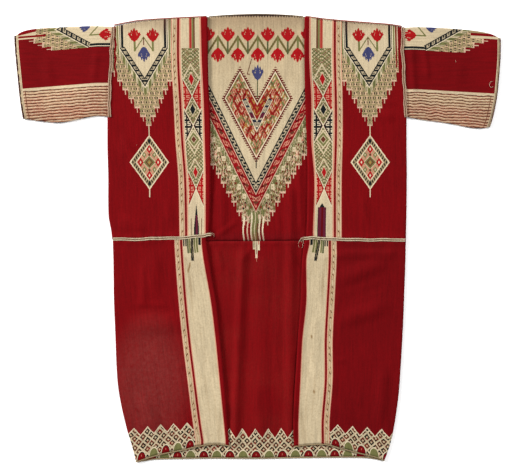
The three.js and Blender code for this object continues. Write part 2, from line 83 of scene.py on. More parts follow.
# The two opening edges and the two side folds, at heights up the jacket.
UPPER_OUTLINE = table(
    "y fold_left edge_left edge_right fold_right",
    (-10, -297.8, -100.6, 99.4, 304.8),
    (14, -300.5, -99.4, 100.2, 305.3),
    (46, -306.0, -97.2, 101.7, 306.0),
    (130, -306.8, -96.2, 102.6, 306.8),
    (180, -308.2, -96.5, 101.9, 306.3),
    (248, -308.4, -96.9, 98.8, 306.2),
    (312, -308.4, -100.4, 97.0, 306.2),
    (406, -308.4, -102.1, 95.9, 306.2),
    (460, -308.4, -102.7, 96.7, 306.2),
)
LOWER_OUTLINE = table(
    "y fold_left edge_left edge_right fold_right",
    (-462, -249.0, -57.5, 75.5, 259.0),
    (-427, -258.0, -58.5, 74.9, 271.5),
    (-394, -268.0, -60.5, 73.4, 279.5),
    (-337, -281.3, -64.8, 74.8, 288.3),
    (-290, -288.0, -68.6, 77.6, 292.6),
    (-190, -292.5, -77.8, 84.0, 298.6),
    (-127, -295.0, -85.2, 88.5, 301.2),
    (-45, -296.2, -99.0, 91.6, 304.0),
    (10, -298.0, -107.5, 98.6, 305.0),
)

# Lines across the jacket.
SHOULDER = table(
    "x y",
    (-308, 433.3),
    (-274, 440.3),
    (-241, 445.8),
    (-176, 450.3),
    (-108, 453.8),
    (-61, 457.3),
    (-1, 459.3),
    (54, 457.8),
    (96, 454.3),
    (137, 448.8),
    (186, 444.3),
    (235, 440.3),
    (272, 437.3),
    (306, 431.8),
)
WAIST_FRONT = table(
    "x y",
    (-298, -2.3),
    (-235, -2.8),
    (-217, -0.8),
    (-180, -0.6),
    (-145, 0.8),
    (-128, 3.0),
    (-110, 4.8),
    (-101, 7.4),
    (98, -1.0),
    (112, 0.0),
    (149, -2.1),
    (231, -4.1),
    (272, -3.7),
    (305, -5.0),
)
WAIST_BACK = table(
    "x y",
    (-298, -2.5),
    (-200, -5.0),
    (-100, -6.2),
    (0, -6.2),
    (100, -5.4),
    (305, -5.0),
)
HEM_FRONT = table(
    "x y",
    (-250, -458.6),
    (-223, -450.0),
    (-198, -443.0),
    (-145, -432.5),
    (-124, -427.0),
    (-87, -422.0),
    (-66, -424.0),
    (-58, -425.6),
    (75, -427.0),
    (100, -424.0),
    (139, -423.0),
    (173, -431.5),
    (206, -440.0),
    (246, -449.6),
    (261, -455.6),
)
HEM_BACK = table(
    "x y",
    (-250, -458.9),
    (-229, -455.4),
    (-208, -452.6),
    (-93, -450.8),
    (5, -451.2),
    (110, -449.4),
    (214, -449.0),
    (235, -451.0),
    (261, -456.0),
)

ARMHOLE = table(
    "y left right",
    (246, -303.6, 304.6),
    (277, -304.2, 303.2),
    (322, -302.9, 301.0),
    (366, -300.3, 298.8),
    (386, -299.8, 297.5),
    (436, -296.0, 298.6),
)
UNDERARM = 248.4
SLEEVE_LEFT = table(
    "along top bottom",
    (0.0, 433.9, 248.8),
    (0.14, 435.3, 251.0),
    (0.28, 435.3, 247.0),
    (0.47, 433.8, 239.8),
    (0.61, 432.4, 236.9),
    (0.82, 429.2, 240.2),
    (0.93, 424.0, 242.9),
    (1.0, 415.6, 244.6),
)
SLEEVE_RIGHT = table(
    "along top bottom",
    (0.0, 432.0, 249.0),
    (0.16, 433.4, 243.5),
    (0.41, 431.4, 238.0),
    (0.6, 428.8, 232.4),
    (0.79, 424.4, 226.4),
    (0.92, 418.6, 225.3),
    (1.0, 410.6, 227.6),
)
CUFF = table(
    "y left right",
    (226, -479.0, 474.4),
    (245, -479.4, 480.6),
    (259, -482.0, 484.0),
    (292, -486.6, 490.2),
    (320, -489.4, 493.0),
    (366, -494.0, 496.6),
    (394, -496.4, 497.3),
    (416, -497.3, 497.0),
)
SLEEVE_GAP = 0.8
CUFF_GAP = 2.4

# Where the wide cream band of each front begins and ends, and the middle of each shoulder motif.
BAND_UPPER = table(
    "y left_outer left_inner right_inner right_outer",
    (12, -143.7, -106.8, 114.0, 156.1),
    (119, -145.8, -106.8, 117.0, 156.1),
    (201, -152.0, -108.8, 110.9, 158.1),
    (283, -156.1, -110.9, 110.9, 158.1),
    (365, -160.2, -115.0, 106.8, 156.1),
    (450, -160.2, -117.0, 106.8, 156.1),
)
BAND_LOWER = table(
    "y left_outer left_inner right_inner right_outer",
    (-415, -110.9, -65.7, 84.2, 131.4),
    (-374, -117.0, -69.8, 84.2, 131.4),
    (-292, -127.3, -78.0, 88.3, 137.6),
    (-209, -137.6, -86.2, 92.4, 137.6),
    (-127, -145.8, -96.5, 100.6, 141.7),
    (-45, -152.0, -110.9, 100.6, 145.8),
    (-12, -154.0, -115.0, 106.8, 145.8),
)
BAND = 43.0  # its woven width
MOTIF_MIDDLE = table(
    "y left right",
    (100, -221.0, 231.0),
    (158, -221.8, 231.0),
    (230, -222.8, 230.6),
    (310, -230.4, 229.0),
    (427, -234.1, 225.9),
)
PANEL_MIDDLE = table("y x", (-47, -2.0), (94, -3.7), (300, -0.5), (450, 0.5))

# Soft folds and creases: the line from x1, y1 to x2, y2, half their width, and their height. A
# negative height is a trough.
FOLDS_BACK = (
    (-30, -10, -48, -440, 15, 4.6),
    (12, -8, 4, -438, 30, 2.8),
    (69, 120, 66, -430, 16, 4.2),
    (-74, 150, -72, 4, 16, 3.0),
)
CREASES_BACK = (
    (-30, -10, -48, -440, 10, 0.8),
    (40, -14, 38, -280, 10, 1.0),
    (84, 190, 90, 10, 10, 2.6),
    (40, 50, 50, 8, 7, 1.8),
    (-91, -2, -38, 38, 9, 2.0),
    (-88, 100, -90, 8, 9, 1.6),
    (-8, -12, -36, -54, 8, 1.4),
    (60, -12, 78, -60, 9, 1.8),
    (-86, -12, -70, -70, 9, 2.0),
    (52, 420, 60, 330, 14, 0.8),
    (-4, -300, 10, -430, 12, 1.0),
    (-20, 420, -24, 330, 16, 0.6),
)
FOLDS_FRONT = (
    (-286, 222, -240, 130, 18, 3.4),
    (-290, 50, -220, 8, 16, 3.2),
    (-214, -16, -214, -136, 26, 3.4),
    (-286, -184, -128, -172, 30, 3.0),
    (-244, -316, -196, -410, 22, 5.0),
    (150, -92, 280, -44, 24, 4.0),
    (150, -178, 286, -130, 26, 4.0),
    (140, -36, 290, -36, 12, 2.0),
    (240, 262, 296, 242, 18, 3.2),
    (262, -250, 250, -400, 22, 3.6),
    (150, -320, 204, -392, 20, 3.0),
)
CREASES_FRONT = (
    (-303, 215, -268, 160, 9, 2.0),
    (-297, 37, -256, 10, 9, 1.8),
    (-268, -150, -165, -150, 12, -1.6),
    (-262, -136, -180, -138, 12, 0.9),
    (-272, -326, -227, -394, 9, 2.2),
    (-235, -40, -235, -150, 13, 2.2),
    (-165, -262, -148, -264, 8, 1.8),
    (169, -131, 262, -98, 10, -2.4),
    (170, -29, 290, -29, 7, 1.6),
    (155, -250, 190, -252, 9, 1.6),
    (258, 287, 293, 271, 9, 2.0),
    (120, -150, 116, -300, 12, 1.2),
    (-128, -210, -110, -330, 13, 1.6),
    (-190, 90, -176, 20, 14, 1.4),
    (214, 96, 226, 20, 14, 1.8),
    (-160, -60, -150, -130, 12, 1.2),
)
FOLDS_SLEEVE_RIGHT = (
    (316, 400, 322, 290, 9, 2.6),
    (342, 396, 350, 320, 9, 2.2),
    (420, 380, 410, 300, 20, 1.6),
)
FOLDS_SLEEVE_LEFT = (
    (-330, 392, -338, 310, 12, 1.6),
    (-440, 380, -420, 300, 18, 1.8),
)
# Long slight waves in every cloth: radians per millimetre across and along, height, and start.
RIPPLES = (
    (0.021, 0.008, 0.30, 0.4),
    (0.037, -0.013, 0.22, 2.1),
    (-0.012, 0.045, 0.22, 4.0),
    (0.071, 0.032, 0.12, 1.3),
    (0.094, -0.057, 0.08, 5.2),
    (0.150, 0.011, 0.08, 3.3),
)


def mix(a, b, t):
    return a + (b - a) * t


def smooth(t):
    c = np.clip(t, 0, 1)
    return c * c * (3 - 2 * c)


def read(rows, by, at, want):
    """One column of a table where another is `at`: a smooth curve through the rows, flat past them."""
    x = rows[by]
    y = rows[want]
    slope = np.gradient(y, x, edge_order=1)
    slope[1:-1] = (y[2:] - y[:-2]) / (x[2:] - x[:-2])
    at = np.clip(np.asarray(at, float), x[0], x[-1])
    i = np.clip(np.searchsorted(x, at, side="right") - 1, 0, len(x) - 2)
    span = x[i + 1] - x[i]
    t = (at - x[i]) / span
    t2 = t * t
    t3 = t2 * t
    return (
        (2 * t3 - 3 * t2 + 1) * y[i]
        + (t3 - 2 * t2 + t) * span * slope[i]
        + (3 * t2 - 2 * t3) * y[i + 1]
        + (t3 - t2) * span * slope[i + 1]
    )


def ridges(rows, x, y):
    """Height of a table of soft folds at points."""
    total = np.zeros_like(x)
    for x1, y1, x2, y2, half, height in rows:
        dx = x2 - x1
        dy = y2 - y1
        length = math.hypot(dx, dy)
        along = ((x - x1) * dx + (y - y1) * dy) / length
        across = ((x - x1) * dy - (y - y1) * dx) / length
        fade = min(length / 2, half * 2)
        ends = smooth(along / fade) * smooth((length - along) / fade)
        side = np.clip(np.abs(across) / half, 0, 1)
        total += height * ends * np.cos(side * np.pi / 2) ** 2
    return total


def ripples(x, y):
    """The slight waves of cloth that has been worn, never below nothing."""
    return sum(h * (1 + np.sin(a * x + b * y + p)) for a, b, h, p in RIPPLES) / 2


def seam_puff(distance, along):
    """Cloth rises a little beside a seam and dips into it, with a pucker here and there."""
    near = np.exp(-((distance / 9) ** 2))
    dip = 1 - np.exp(-((distance / 2.6) ** 2))
    pucker = 1 + 0.6 * np.sin(along * 0.36 + 2 * np.sin(along * 0.07)) * near
    return 2.0 * near * dip * pucker


def back_height(x, y):
    """Height of the middle of the back cloth."""
    waist = seam_puff(np.abs(y - read(WAIST_BACK, "x", x, "y")), x)
    body = ridges(FOLDS_BACK + CREASES_BACK, x, y) + ripples(x, y)
    return CLOTH / 2 + np.maximum(body, 0) + waist


def front_height(outline, x, y):
    """Height of the middle of a front, lying on the back."""
    left = x < 0
    fold = np.where(left, read(outline, "y", y, "fold_left"), read(outline, "y", y, "fold_right"))
    edge = np.where(left, read(outline, "y", y, "edge_left"), read(outline, "y", y, "edge_right"))
    settled = smooth((np.abs(fold - x) - FOLD_DEPTH) / FOLD_REACH)
    from_edge = np.abs(edge - x)
    lift = EDGE_LIFT * (1 - smooth(from_edge / EDGE_REACH))
    curl = 0.7 * np.sin(y * 0.05 + 1.2 * np.sin(y * 0.017)) * (1 - smooth(from_edge / 16))
    waist = seam_puff(np.abs(y - read(WAIST_FRONT, "x", x, "y")), x + 40)
    own = ridges(FOLDS_FRONT + CREASES_FRONT, x, y) + ripples(y, x + 90) + lift + np.abs(curl)
    under = CLOTH / 2 + np.maximum(ridges(FOLDS_BACK, x, y), 0) + 0.5
    gap = mix(FOLD_GAP, LAYER_GAP, settled)
    return under + CLOTH + gap + settled * np.maximum(own, 0) + waist - 0.5 * (1 - settled)


def grid_mesh(name, points, kinds, layouts, ring=False, keep=None):
    """A mesh from a grid of points in millimetres. Each face takes its finish from its column's
    kind, and its layout coordinates, also in millimetres, from that kind's own layout."""
    rows, columns, _ = points.shape
    across = columns if ring else columns - 1
    i, j = np.meshgrid(np.arange(rows - 1), np.arange(across), indexing="ij")
    if keep is not None:
        kept = keep(i, j)
        i = i[kept]
        j = j[kept]
    i = i.ravel()
    j = j.ravel()
    k = (j + 1) % columns
    faces = np.stack([i * columns + j, i * columns + k, (i + 1) * columns + k, (i + 1) * columns + j], 1)
    mesh = bpy.data.meshes.new(name)
    mesh.from_pydata((points.reshape(-1, 3) * MM).tolist(), [], faces.tolist())
    kind = np.asarray(kinds)[j]
    mesh.polygons.foreach_set("material_index", kind.astype(np.int32))
    for layer in layouts[0]:
        values = np.stack([layout[layer].reshape(-1, 2) for layout in layouts])
        loops = values[kind[:, None], faces]
        uv = mesh.uv_layers.new(name=layer)
        uv.data.foreach_set("uv", loops.astype(np.float32).ravel())
    mesh.validate()
    return smooth_object(name, mesh)


def smooth_object(name, mesh):
    """An object in the scene from a mesh, shaded smooth."""
    mesh.polygons.foreach_set("use_smooth", np.ones(len(mesh.polygons), bool))
    return placed(name, mesh)


def placed(name, data):
    """A new object in the scene, with that mesh, light or camera."""
    obj = bpy.data.objects.new(name, data)
    bpy.context.scene.collection.objects.link(obj)
    return obj


def thicken(cloth):
    """Gives a sheet its thickness, half to either side."""
    wall = cloth.modifiers.new("cloth thickness", "SOLIDIFY")
    wall.thickness = CLOTH * MM
    wall.offset = 0


def drop_loose(obj):
    """Removes points that no face uses."""
    mesh = obj.data
    used = np.zeros(len(mesh.vertices), bool)
    corner = np.empty(len(mesh.loops), np.int32)
    mesh.loops.foreach_get("vertex_index", corner)
    used[corner] = True
    work = bmesh.new()
    work.from_mesh(mesh)
    work.verts.ensure_lookup_table()
    bmesh.ops.delete(work, geom=[v for v in work.verts if not used[v.index]], context="VERTS")
    work.to_mesh(mesh)
    work.free()


LEFT_FRONT, LEFT_TURN, BACK, RIGHT_TURN, RIGHT_FRONT = range(5)


def width_columns():
    """Part and share of every column across a loom width, from opening edge to opening edge."""
    front = np.linspace(0, 1, FRONT_COLUMNS)
    turn = np.linspace(0, 1, TURN_COLUMNS)[1:-1]
    back = np.linspace(0, 1, BACK_COLUMNS)
    parts = [(LEFT_FRONT, front), (LEFT_TURN, turn), (BACK, back), (RIGHT_TURN, turn[::-1])]
    parts.append((RIGHT_FRONT, front[::-1]))
    part = np.concatenate([np.full(len(s), p) for p, s in parts])
    return part, np.concatenate([s for _, s in parts])


def width_points(outline, part, share, y, slit=None):
    """Where the columns of a loom width lie at heights y. Above the underarm, `slit` gives how far
    they have drawn back from the side folds to the armhole seams."""
    fold_left = read(outline, "y", y, "fold_left") + FOLD_DEPTH
    fold_right = read(outline, "y", y, "fold_right") - FOLD_DEPTH
    if slit is not None:
        fold_left = mix(fold_left, read(ARMHOLE, "y", y, "left"), slit)
        fold_right = mix(fold_right, read(ARMHOLE, "y", y, "right"), slit)
    edge_left = read(outline, "y", y, "edge_left")
    edge_right = read(outline, "y", y, "edge_right")
    turn = np.pi * (0.5 - share)
    round_x = FOLD_RADIUS * np.cos(turn)
    round_z = CLOTH / 2 + FOLD_RADIUS * (1 + np.sin(turn))
    x = np.select(
        [part == LEFT_FRONT, part == LEFT_TURN, part == BACK, part == RIGHT_TURN],
        [
            mix(edge_left, fold_left, share),
            fold_left - round_x,
            mix(fold_left, fold_right, share),
            fold_right + round_x,
        ],
        mix(edge_right, fold_right, share),
    )
    z = np.select(
        [part == BACK, (part == LEFT_TURN) | (part == RIGHT_TURN)],
        [back_height(x, y), round_z],
        front_height(outline, x, y),
    )
    return x, z


def course(part, share, outline, nominal, front, back):
    """A line across the jacket, at each column."""
    x, _ = width_points(outline, part, share, np.full(len(part), float(nominal)))
    ahead = read(front, "x", x, "y")
    behind = read(back, "x", x, "y")
    turning = (part == LEFT_TURN) | (part == RIGHT_TURN)
    return np.select([part == BACK, turning], [behind, mix(ahead, behind, share)], ahead)


def band_coordinate(band, x, y):
    """Distance across a front in its woven stripes: 0 at the wide cream band's outer edge."""
    outer = np.where(x < 0, read(band, "y", y, "left_outer"), read(band, "y", y, "right_outer"))
    inner = np.where(x < 0, read(band, "y", y, "left_inner"), read(band, "y", y, "right_inner"))
    out = np.where(x < 0, outer - x, x - outer)
    stretch = BAND / np.abs(outer - inner)
    return np.where(out < 0, out * stretch, out)


def pair(a, b):
    return np.stack([a, b], axis=-1)


def make_width(name, outline, band, low, high, split=None):
    """One loom width as a cloth of its own. Kinds: left front, right front, back."""
    part, share = width_columns()
    bottom = course(part, share, outline, *low)
    top = course(part, share, outline, *high)
    if split is None:
        steps = round((high[0] - low[0]) / GRID)
        t = np.linspace(0, 1, steps + 1)[:, None]
        y = mix(bottom, top, t)
        slit = None
    else:
        lower = np.linspace(0, 1, round((split - low[0]) / GRID) + 1)[:, None]
        upper = np.linspace(0, 1, round((high[0] - split) / GRID) + 1)[1:, None]
        y = np.concatenate([mix(bottom, split, lower), mix(split, top, upper)])
        slit = np.concatenate([np.zeros_like(lower), np.ones_like(upper)])
    part_at = np.broadcast_to(part, y.shape)
    share_at = np.broadcast_to(share, y.shape)
    x, z = width_points(outline, part_at, share_at, y, slit)
    points = np.stack([x, y, z], axis=-1)
    left = x < 0
    middle = np.where(left, read(MOTIF_MIDDLE, "y", y, "left"), read(MOTIF_MIDDLE, "y", y, "right"))
    outward = np.where(left, -1.0, 1.0)
    front = {
        "stripes": pair(band_coordinate(band, x, y), y),
        "motif": pair((x - middle) * outward, y - read(HEM_FRONT, "x", x, "y")),
    }
    back = {
        "stripes": pair(x - read(PANEL_MIDDLE, "y", y, "x"), y),
        "motif": pair(x, y - read(HEM_BACK, "x", x, "y")),
    }
    kind = np.select(
        [part == LEFT_FRONT, part == RIGHT_FRONT, part == BACK],
        [0, 1, 2],
        np.where(share > 0.5, 2, np.where(part == LEFT_TURN, 0, 1)),
    )
    # A column of faces lies between two columns of points, and belongs to the outer one.
    between = np.where(np.arange(len(part) - 1) < len(part) // 2, kind[:-1], kind[1:])
    rows_below = None if split is None else len(lower) - 1
    turning = (part == LEFT_TURN) | (part == RIGHT_TURN)
    across_turn = turning[:-1] | turning[1:]

    def keep(i, j):
        return (i < rows_below) | ~across_turn[j]

    cloth = grid_mesh(name, points, between, [front, front, back], keep=keep if split else None)
    if split:
        drop_loose(cloth)
    return cloth


def make_sleeve(name, side, rows, folds):
    """A tube sleeve, pressed flat: the lower layer, the top fold, the upper layer, the underarm."""
    out = -1 if side == "left" else 1
    steps = 48
    turns = np.linspace(-np.pi / 2, np.pi / 2, TURN_COLUMNS)[1:-1]
    across = np.linspace(0, 1, 47)
    along = np.linspace(0, 1, steps + 1)[:, None]
    top = read(rows, "along", along, "top") - FOLD_DEPTH
    bottom = read(rows, "along", along, "bottom") + FOLD_DEPTH
    middle = CLOTH / 2 + FOLD_RADIUS

    def place(y, z):
        start = read(ARMHOLE, "y", y, side)
        return np.stack([mix(start, read(CUFF, "y", y, side), along), y, z + 0 * y], axis=-1)

    def gap(share):
        from_edge = np.minimum(share, 1 - share) * 2
        flat = mix(FOLD_GAP, SLEEVE_GAP, smooth(from_edge * 2) * smooth(np.minimum(along / 0.3, 1)))
        return mix(flat, CUFF_GAP, smooth((along - 0.7) / 0.3) * smooth(from_edge * 2))

    lower_y = mix(bottom, top, across)
    upper_y = mix(top, bottom, across)
    lower = place(lower_y, np.full_like(lower_y, CLOTH / 2))
    upper = place(upper_y, CLOTH / 2 + CLOTH + gap(1 - across))
    inner = smooth(np.minimum(across, 1 - across) * 8)
    ends = smooth(along * 12) * smooth((1 - along) * 12)
    wave = ripples(upper[..., 1] * 1.3, upper[..., 0]) + ridges(folds, upper[..., 0], upper[..., 1])
    underarm = smooth((upper[..., 1].max() - 90 - upper[..., 1]) / 40)
    crumple = 0.35 * np.sin(upper[..., 1] * 0.95 + 1.5 * np.sin(upper[..., 0] * 0.11))
    crumple *= underarm * (0.6 + 0.4 * np.sin(upper[..., 0] * 0.19))
    upper[..., 2] += np.maximum(wave + crumple, 0) * inner * mix(0.3, 1, ends)
    over = place(top + FOLD_RADIUS * np.cos(turns), middle + FOLD_RADIUS * np.sin(turns))
    under = place(bottom - FOLD_RADIUS * np.cos(turns), middle - FOLD_RADIUS * np.sin(turns))
    ring = np.concatenate([lower, over, upper, under], axis=1)
    if side == "left":
        ring = ring[:, ::-1]
    x = ring[..., 0]
    y = ring[..., 1]
    # The cloth's grain slants down a little towards the cuff.
    slant = 0.082 if side == "left" else 0.058
    start = read(ARMHOLE, "y", y, side)
    reach = (x - start) * out
    fold_line = read(rows, "along", 0.15, "top") - slant * np.maximum(reach - 30, 0)
    cuff = (read(CUFF, "y", y, side) - x) * out
    layout = {
        "stripes": pair(reach, fold_line - y),
        "motif": pair(cuff, y - read(rows, "along", reach / 190, "bottom")),
        "weave": pair(x, y),
    }
    kinds = np.zeros(ring.shape[1], int)
    return grid_mesh(name, ring, kinds, [layout], ring=True)


class Figure:
    """A number in a finish's node tree. Sums of these add math nodes to that tree."""

    def __init__(self, finish, socket):
        self.finish = finish
        self.socket = socket

    def __add__(self, other):
        return self.finish.math("ADD", self, other)

    def __sub__(self, other):
        return self.finish.math("SUBTRACT", self, other)

    def __rsub__(self, other):
        return self.finish.math("SUBTRACT", other, self)

    def __mul__(self, other):
        return self.finish.math("MULTIPLY", self, other)

    def __truediv__(self, other):
        return self.finish.math("DIVIDE", self, other)

    def __lt__(self, other):
        return self.finish.math("LESS_THAN", self, other)

    def __gt__(self, other):
        return self.finish.math("GREATER_THAN", self, other)

    def __and__(self, other):
        return self.finish.math("MULTIPLY", self, other)

    def __or__(self, other):
        return self.finish.math("MAXIMUM", self, other)

    def __abs__(self):
        return self.finish.math("ABSOLUTE", self)

    __radd__ = __add__
    __rmul__ = __mul__

    def floor(self):
        return self.finish.math("FLOOR", self)

    def sine(self):
        return self.finish.math("SINE", self)

    def part(self, pitch):
        """How far into a repeat of that pitch, from 0 to 1."""
        return self.finish.math("FRACT", self / pitch)

    def from_middle(self, pitch):
        """Distance from the nearest multiple of the pitch."""
        return self.finish.math("PINGPONG", self, pitch / 2)

    def least(self, other):
        return self.finish.math("MINIMUM", self, other)

    def most(self, other):
        return self.finish.math("MAXIMUM", self, other)

    def between(self, low, high):
        """1 from low to high, and 0 elsewhere."""
        return self.finish.math("COMPARE", self, (low + high) / 2, (high - low) / 2)

    def step_to(self, thread):
        """Snapped to a whole number of threads, as a woven edge is."""
        return self.finish.math("SNAP", self, thread)


LAMPS = 1.75  # a flat surface comes out this many times as bright as its dye

# The weave: ribs in millimetres, and how far streaks and flecks lighten or darken the dye.
WARP_RIB = 1.5
WEFT_RIB = 1.08
STREAK = 0.6
MOTTLE = 0.55
THREAD_ACROSS = 0.7  # figures step by whole threads across the cloth
THREAD_ALONG = 0.9


def colour(code):
    """A colour as the shader takes it, from the red, green and blue of a dye card, 0 to 255. The
    card shows the cloth in the lamps' light, so what they add is taken off again."""
    linear = [((c / 255 + 0.055) / 1.055) ** 2.4 if c > 10 else c / 255 / 12.92 for c in code]
    return (*[c / LAMPS for c in linear], 1.0)


MADDER = colour((126, 3, 9))
MADDER_DEEP = colour((118, 3, 9))
MADDER_DARK = colour((98, 4, 10))
CRIMSON = colour((146, 14, 20))
SCARLET = colour((170, 18, 22))
BRICK = colour((148, 30, 24))
ROSE = colour((188, 104, 84))
SALMON = colour((198, 128, 100))
PINK = colour((216, 146, 120))
BLUSH = colour((214, 178, 150))
CREAM_LIGHT = colour((232, 214, 180))
CREAM = colour((214, 194, 158))
KEY_CREAM = colour((190, 172, 140))
CREAM_DUSKY = colour((168, 146, 108))
TAN = colour((206, 174, 136))
DUST = colour((158, 114, 104))
OCHRE = colour((178, 132, 68))
OLIVE = colour((120, 118, 70))
GREEN = colour((86, 90, 56))
BLUE = colour((66, 68, 108))
PURPLE = colour((98, 30, 50))
BROWN = colour((104, 54, 36))
NAVY = colour((46, 48, 58))
INK = colour((34, 32, 26))
BLACK = colour((26, 30, 30))
THREAD_DARK = colour((56, 36, 30))
THREAD_TAN = colour((150, 118, 76))

# Small figures, charted as a weaver does: a row for each pass, a letter for each stitch.
# The carnation is a half chart, mirrored about its first column. Figures end in an empty column and
# rows, because a chart repeats its edges.
CARNATION = (
    "..............",
    "#.............",
    "##............",
    "##..##........",
    "###.###.......",
    "#######.......",
    "########..#...",
    "####.#######..",
    "############..",
    "#####.#######.",
    "#####.######..",
    "###########...",
    "##########....",
    "#########.....",
    "########......",
    "#######.......",
    "######........",
    "####..........",
    "##............",
    "..............",
)
LINK = (
    ".....",
    ".###.",
    ".#.#.",
    ".#.#.",
    ".....",
)
HOOK = (
    "......",
    ".####.",
    ".#....",
    ".####.",
    "....#.",
    ".####.",
    "......",
)
KEY = (
    "......",
    "####..",
    "#..#..",
    "#..###",
    "......",
)


class Finish:
    """A procedural material, painted layer by layer like a weaver's cartoon."""

    def __init__(self, name):
        self.material = bpy.data.materials.new(name)
        self.material.use_nodes = True
        self.tree = self.material.node_tree
        self.tree.nodes.clear()
        self.colour = None

    def node(self, kind, **settings):
        made = self.tree.nodes.new(kind)
        for key, value in settings.items():
            setattr(made, key, value)
        return made

    def feed(self, socket, value):
        """Links a figure or a socket to an input, or sets a constant on it."""
        if isinstance(value, Figure):
            self.tree.links.new(value.socket, socket)
        elif isinstance(value, bpy.types.NodeSocket):
            self.tree.links.new(value, socket)
        else:
            socket.default_value = value

    def math(self, operation, *values):
        made = self.node("ShaderNodeMath", operation=operation)
        for socket, value in zip(made.inputs, values):
            self.feed(socket, value)
        return Figure(self, made.outputs[0])

    def layout(self, name):
        """The two coordinates of one of the cloth's layouts, in millimetres."""
        uv = self.node("ShaderNodeUVMap", uv_map=name)
        split = self.node("ShaderNodeSeparateXYZ")
        self.tree.links.new(uv.outputs[0], split.inputs[0])
        return Figure(self, split.outputs[0]), Figure(self, split.outputs[1])

    def noise(self, across, along, seed, detail=2.0, roughness=0.5):
        """A soft uneven figure, about 0.5, read at a place that the two coordinates and a seed give."""
        place = self.node("ShaderNodeCombineXYZ")
        self.feed(place.inputs[0], across)
        self.feed(place.inputs[1], along)
        place.inputs[2].default_value = seed
        made = self.node("ShaderNodeTexNoise", noise_dimensions="3D")
        self.feed(made.inputs["Vector"], place.outputs[0])
        made.inputs["Scale"].default_value = 1.0
        made.inputs["Detail"].default_value = detail
        made.inputs["Roughness"].default_value = roughness
        return Figure(self, made.outputs[0])

    def ease(self, value, low, high, to_low=0.0, to_high=1.0):
        """Runs smoothly from to_low to to_high as the value goes from low to high."""
        made = self.node("ShaderNodeMapRange", interpolation_type="SMOOTHSTEP")
        self.feed(made.inputs[0], value)
        for socket, number in zip(made.inputs[1:5], (low, high, to_low, to_high)):
            socket.default_value = number
        return Figure(self, made.outputs[0])

    def paint(self, dye, where=None):
        """Lays a colour over what is there, where the mask is 1."""
        if where is None:
            self.colour = dye
            return
        made = self.node("ShaderNodeMix", data_type="RGBA")
        self.feed(made.inputs[0], where)
        self.feed(made.inputs[6], self.colour)
        self.feed(made.inputs[7], dye)
        self.colour = made.outputs[2]

    def stripes(self, position, low, high, rows):
        """The colours of a row of stripes, each from its start to the next one's."""
        made = self.node("ShaderNodeValToRGB")
        ramp = made.color_ramp
        ramp.interpolation = "CONSTANT"
        while len(ramp.elements) > 1:
            ramp.elements.remove(ramp.elements[-1])
        for place, (start, dye) in enumerate(rows):
            at = max((start - low) / (high - low), 0.0)
            stop = ramp.elements[0] if place == 0 else ramp.elements.new(at)
            stop.position = at
            stop.color = dye
        self.feed(made.inputs[0], (position - low) / (high - low))
        return made.outputs[0]

    def chart(self, rows, column, row):
        """1 where a charted figure is filled. Column and row count its cells from 0, and what lies
        past its edges reads as its last column and its end rows."""
        columns = len(rows[0])
        made = self.node("ShaderNodeValToRGB")
        ramp = made.color_ramp
        ramp.interpolation = "CONSTANT"
        while len(ramp.elements) > 1:
            ramp.elements.remove(ramp.elements[-1])
        for place, line in enumerate(rows):
            filled = sum(2 ** (columns - 1 - c) for c, mark in enumerate(line) if mark == "#")
            share = (filled + 0.5) / 2**columns
            at = place / len(rows)
            stop = ramp.elements[0] if place == 0 else ramp.elements.new(at)
            stop.position = at
            stop.color = (share, share, share, 1.0)
        self.feed(made.inputs[0], (row.floor() + 0.5) / len(rows))
        split = self.node("ShaderNodeSeparateColor")
        self.tree.links.new(made.outputs[0], split.inputs[0])
        line = Figure(self, split.outputs[0])
        cell = column.floor().most(0).least(columns - 1)
        shifted = line * self.math("POWER", 2.0, cell + 1)
        return (shifted.floor() / 2).part(1) > 0.25

    def cloth(self, weave, wear=0.35, dust=0.0):
        """Ends a woven finish: streaks of uneven dye along the warp, wear, and the weave's relief."""
        across, along = weave
        fine = self.noise(across * 0.34, along * 0.02, 1.7, detail=3.0)
        broad = self.noise(across * 0.012, along * 0.009, 4.1, detail=3.0)
        fleck = self.noise(across * 0.36, along * 0.3, 9.3, detail=3.0, roughness=0.7)
        shade = 1 + (fine - 0.5) * STREAK + (broad - 0.5) * wear + (fleck - 0.5) * MOTTLE
        tone = self.node("ShaderNodeCombineColor")
        for socket in tone.inputs:
            self.feed(socket, shade)
        shaded = self.node("ShaderNodeMix", data_type="RGBA", blend_type="MULTIPLY")
        shaded.inputs[0].default_value = 1.0
        self.feed(shaded.inputs[6], self.colour)
        self.feed(shaded.inputs[7], tone.outputs[0])
        self.colour = shaded.outputs[2]
        if dust:
            rubbed = self.noise(across * 0.011, along * 0.014, 6.6)
            grain = self.noise(across * 0.45, along * 0.55, 2.2, detail=3.0, roughness=0.8)
            self.paint(CREAM_DUSKY, self.ease(rubbed, 0.3, 0.7) * self.ease(grain, 0.4, 0.7) * dust)
        warp = self.math("SINE", across * (2 * math.pi / WARP_RIB))
        weft = self.math("SINE", along * (2 * math.pi / WEFT_RIB))
        relief = warp * 0.16 + warp * weft * 0.16 + fine * 1.1 + fleck
        bump = self.node("ShaderNodeBump")
        bump.inputs["Strength"].default_value = 0.55
        bump.inputs["Distance"].default_value = 0.35 * MM
        self.feed(bump.inputs["Height"], relief)
        self.close(0.85, 0.02, bump.outputs[0])
        return self.material

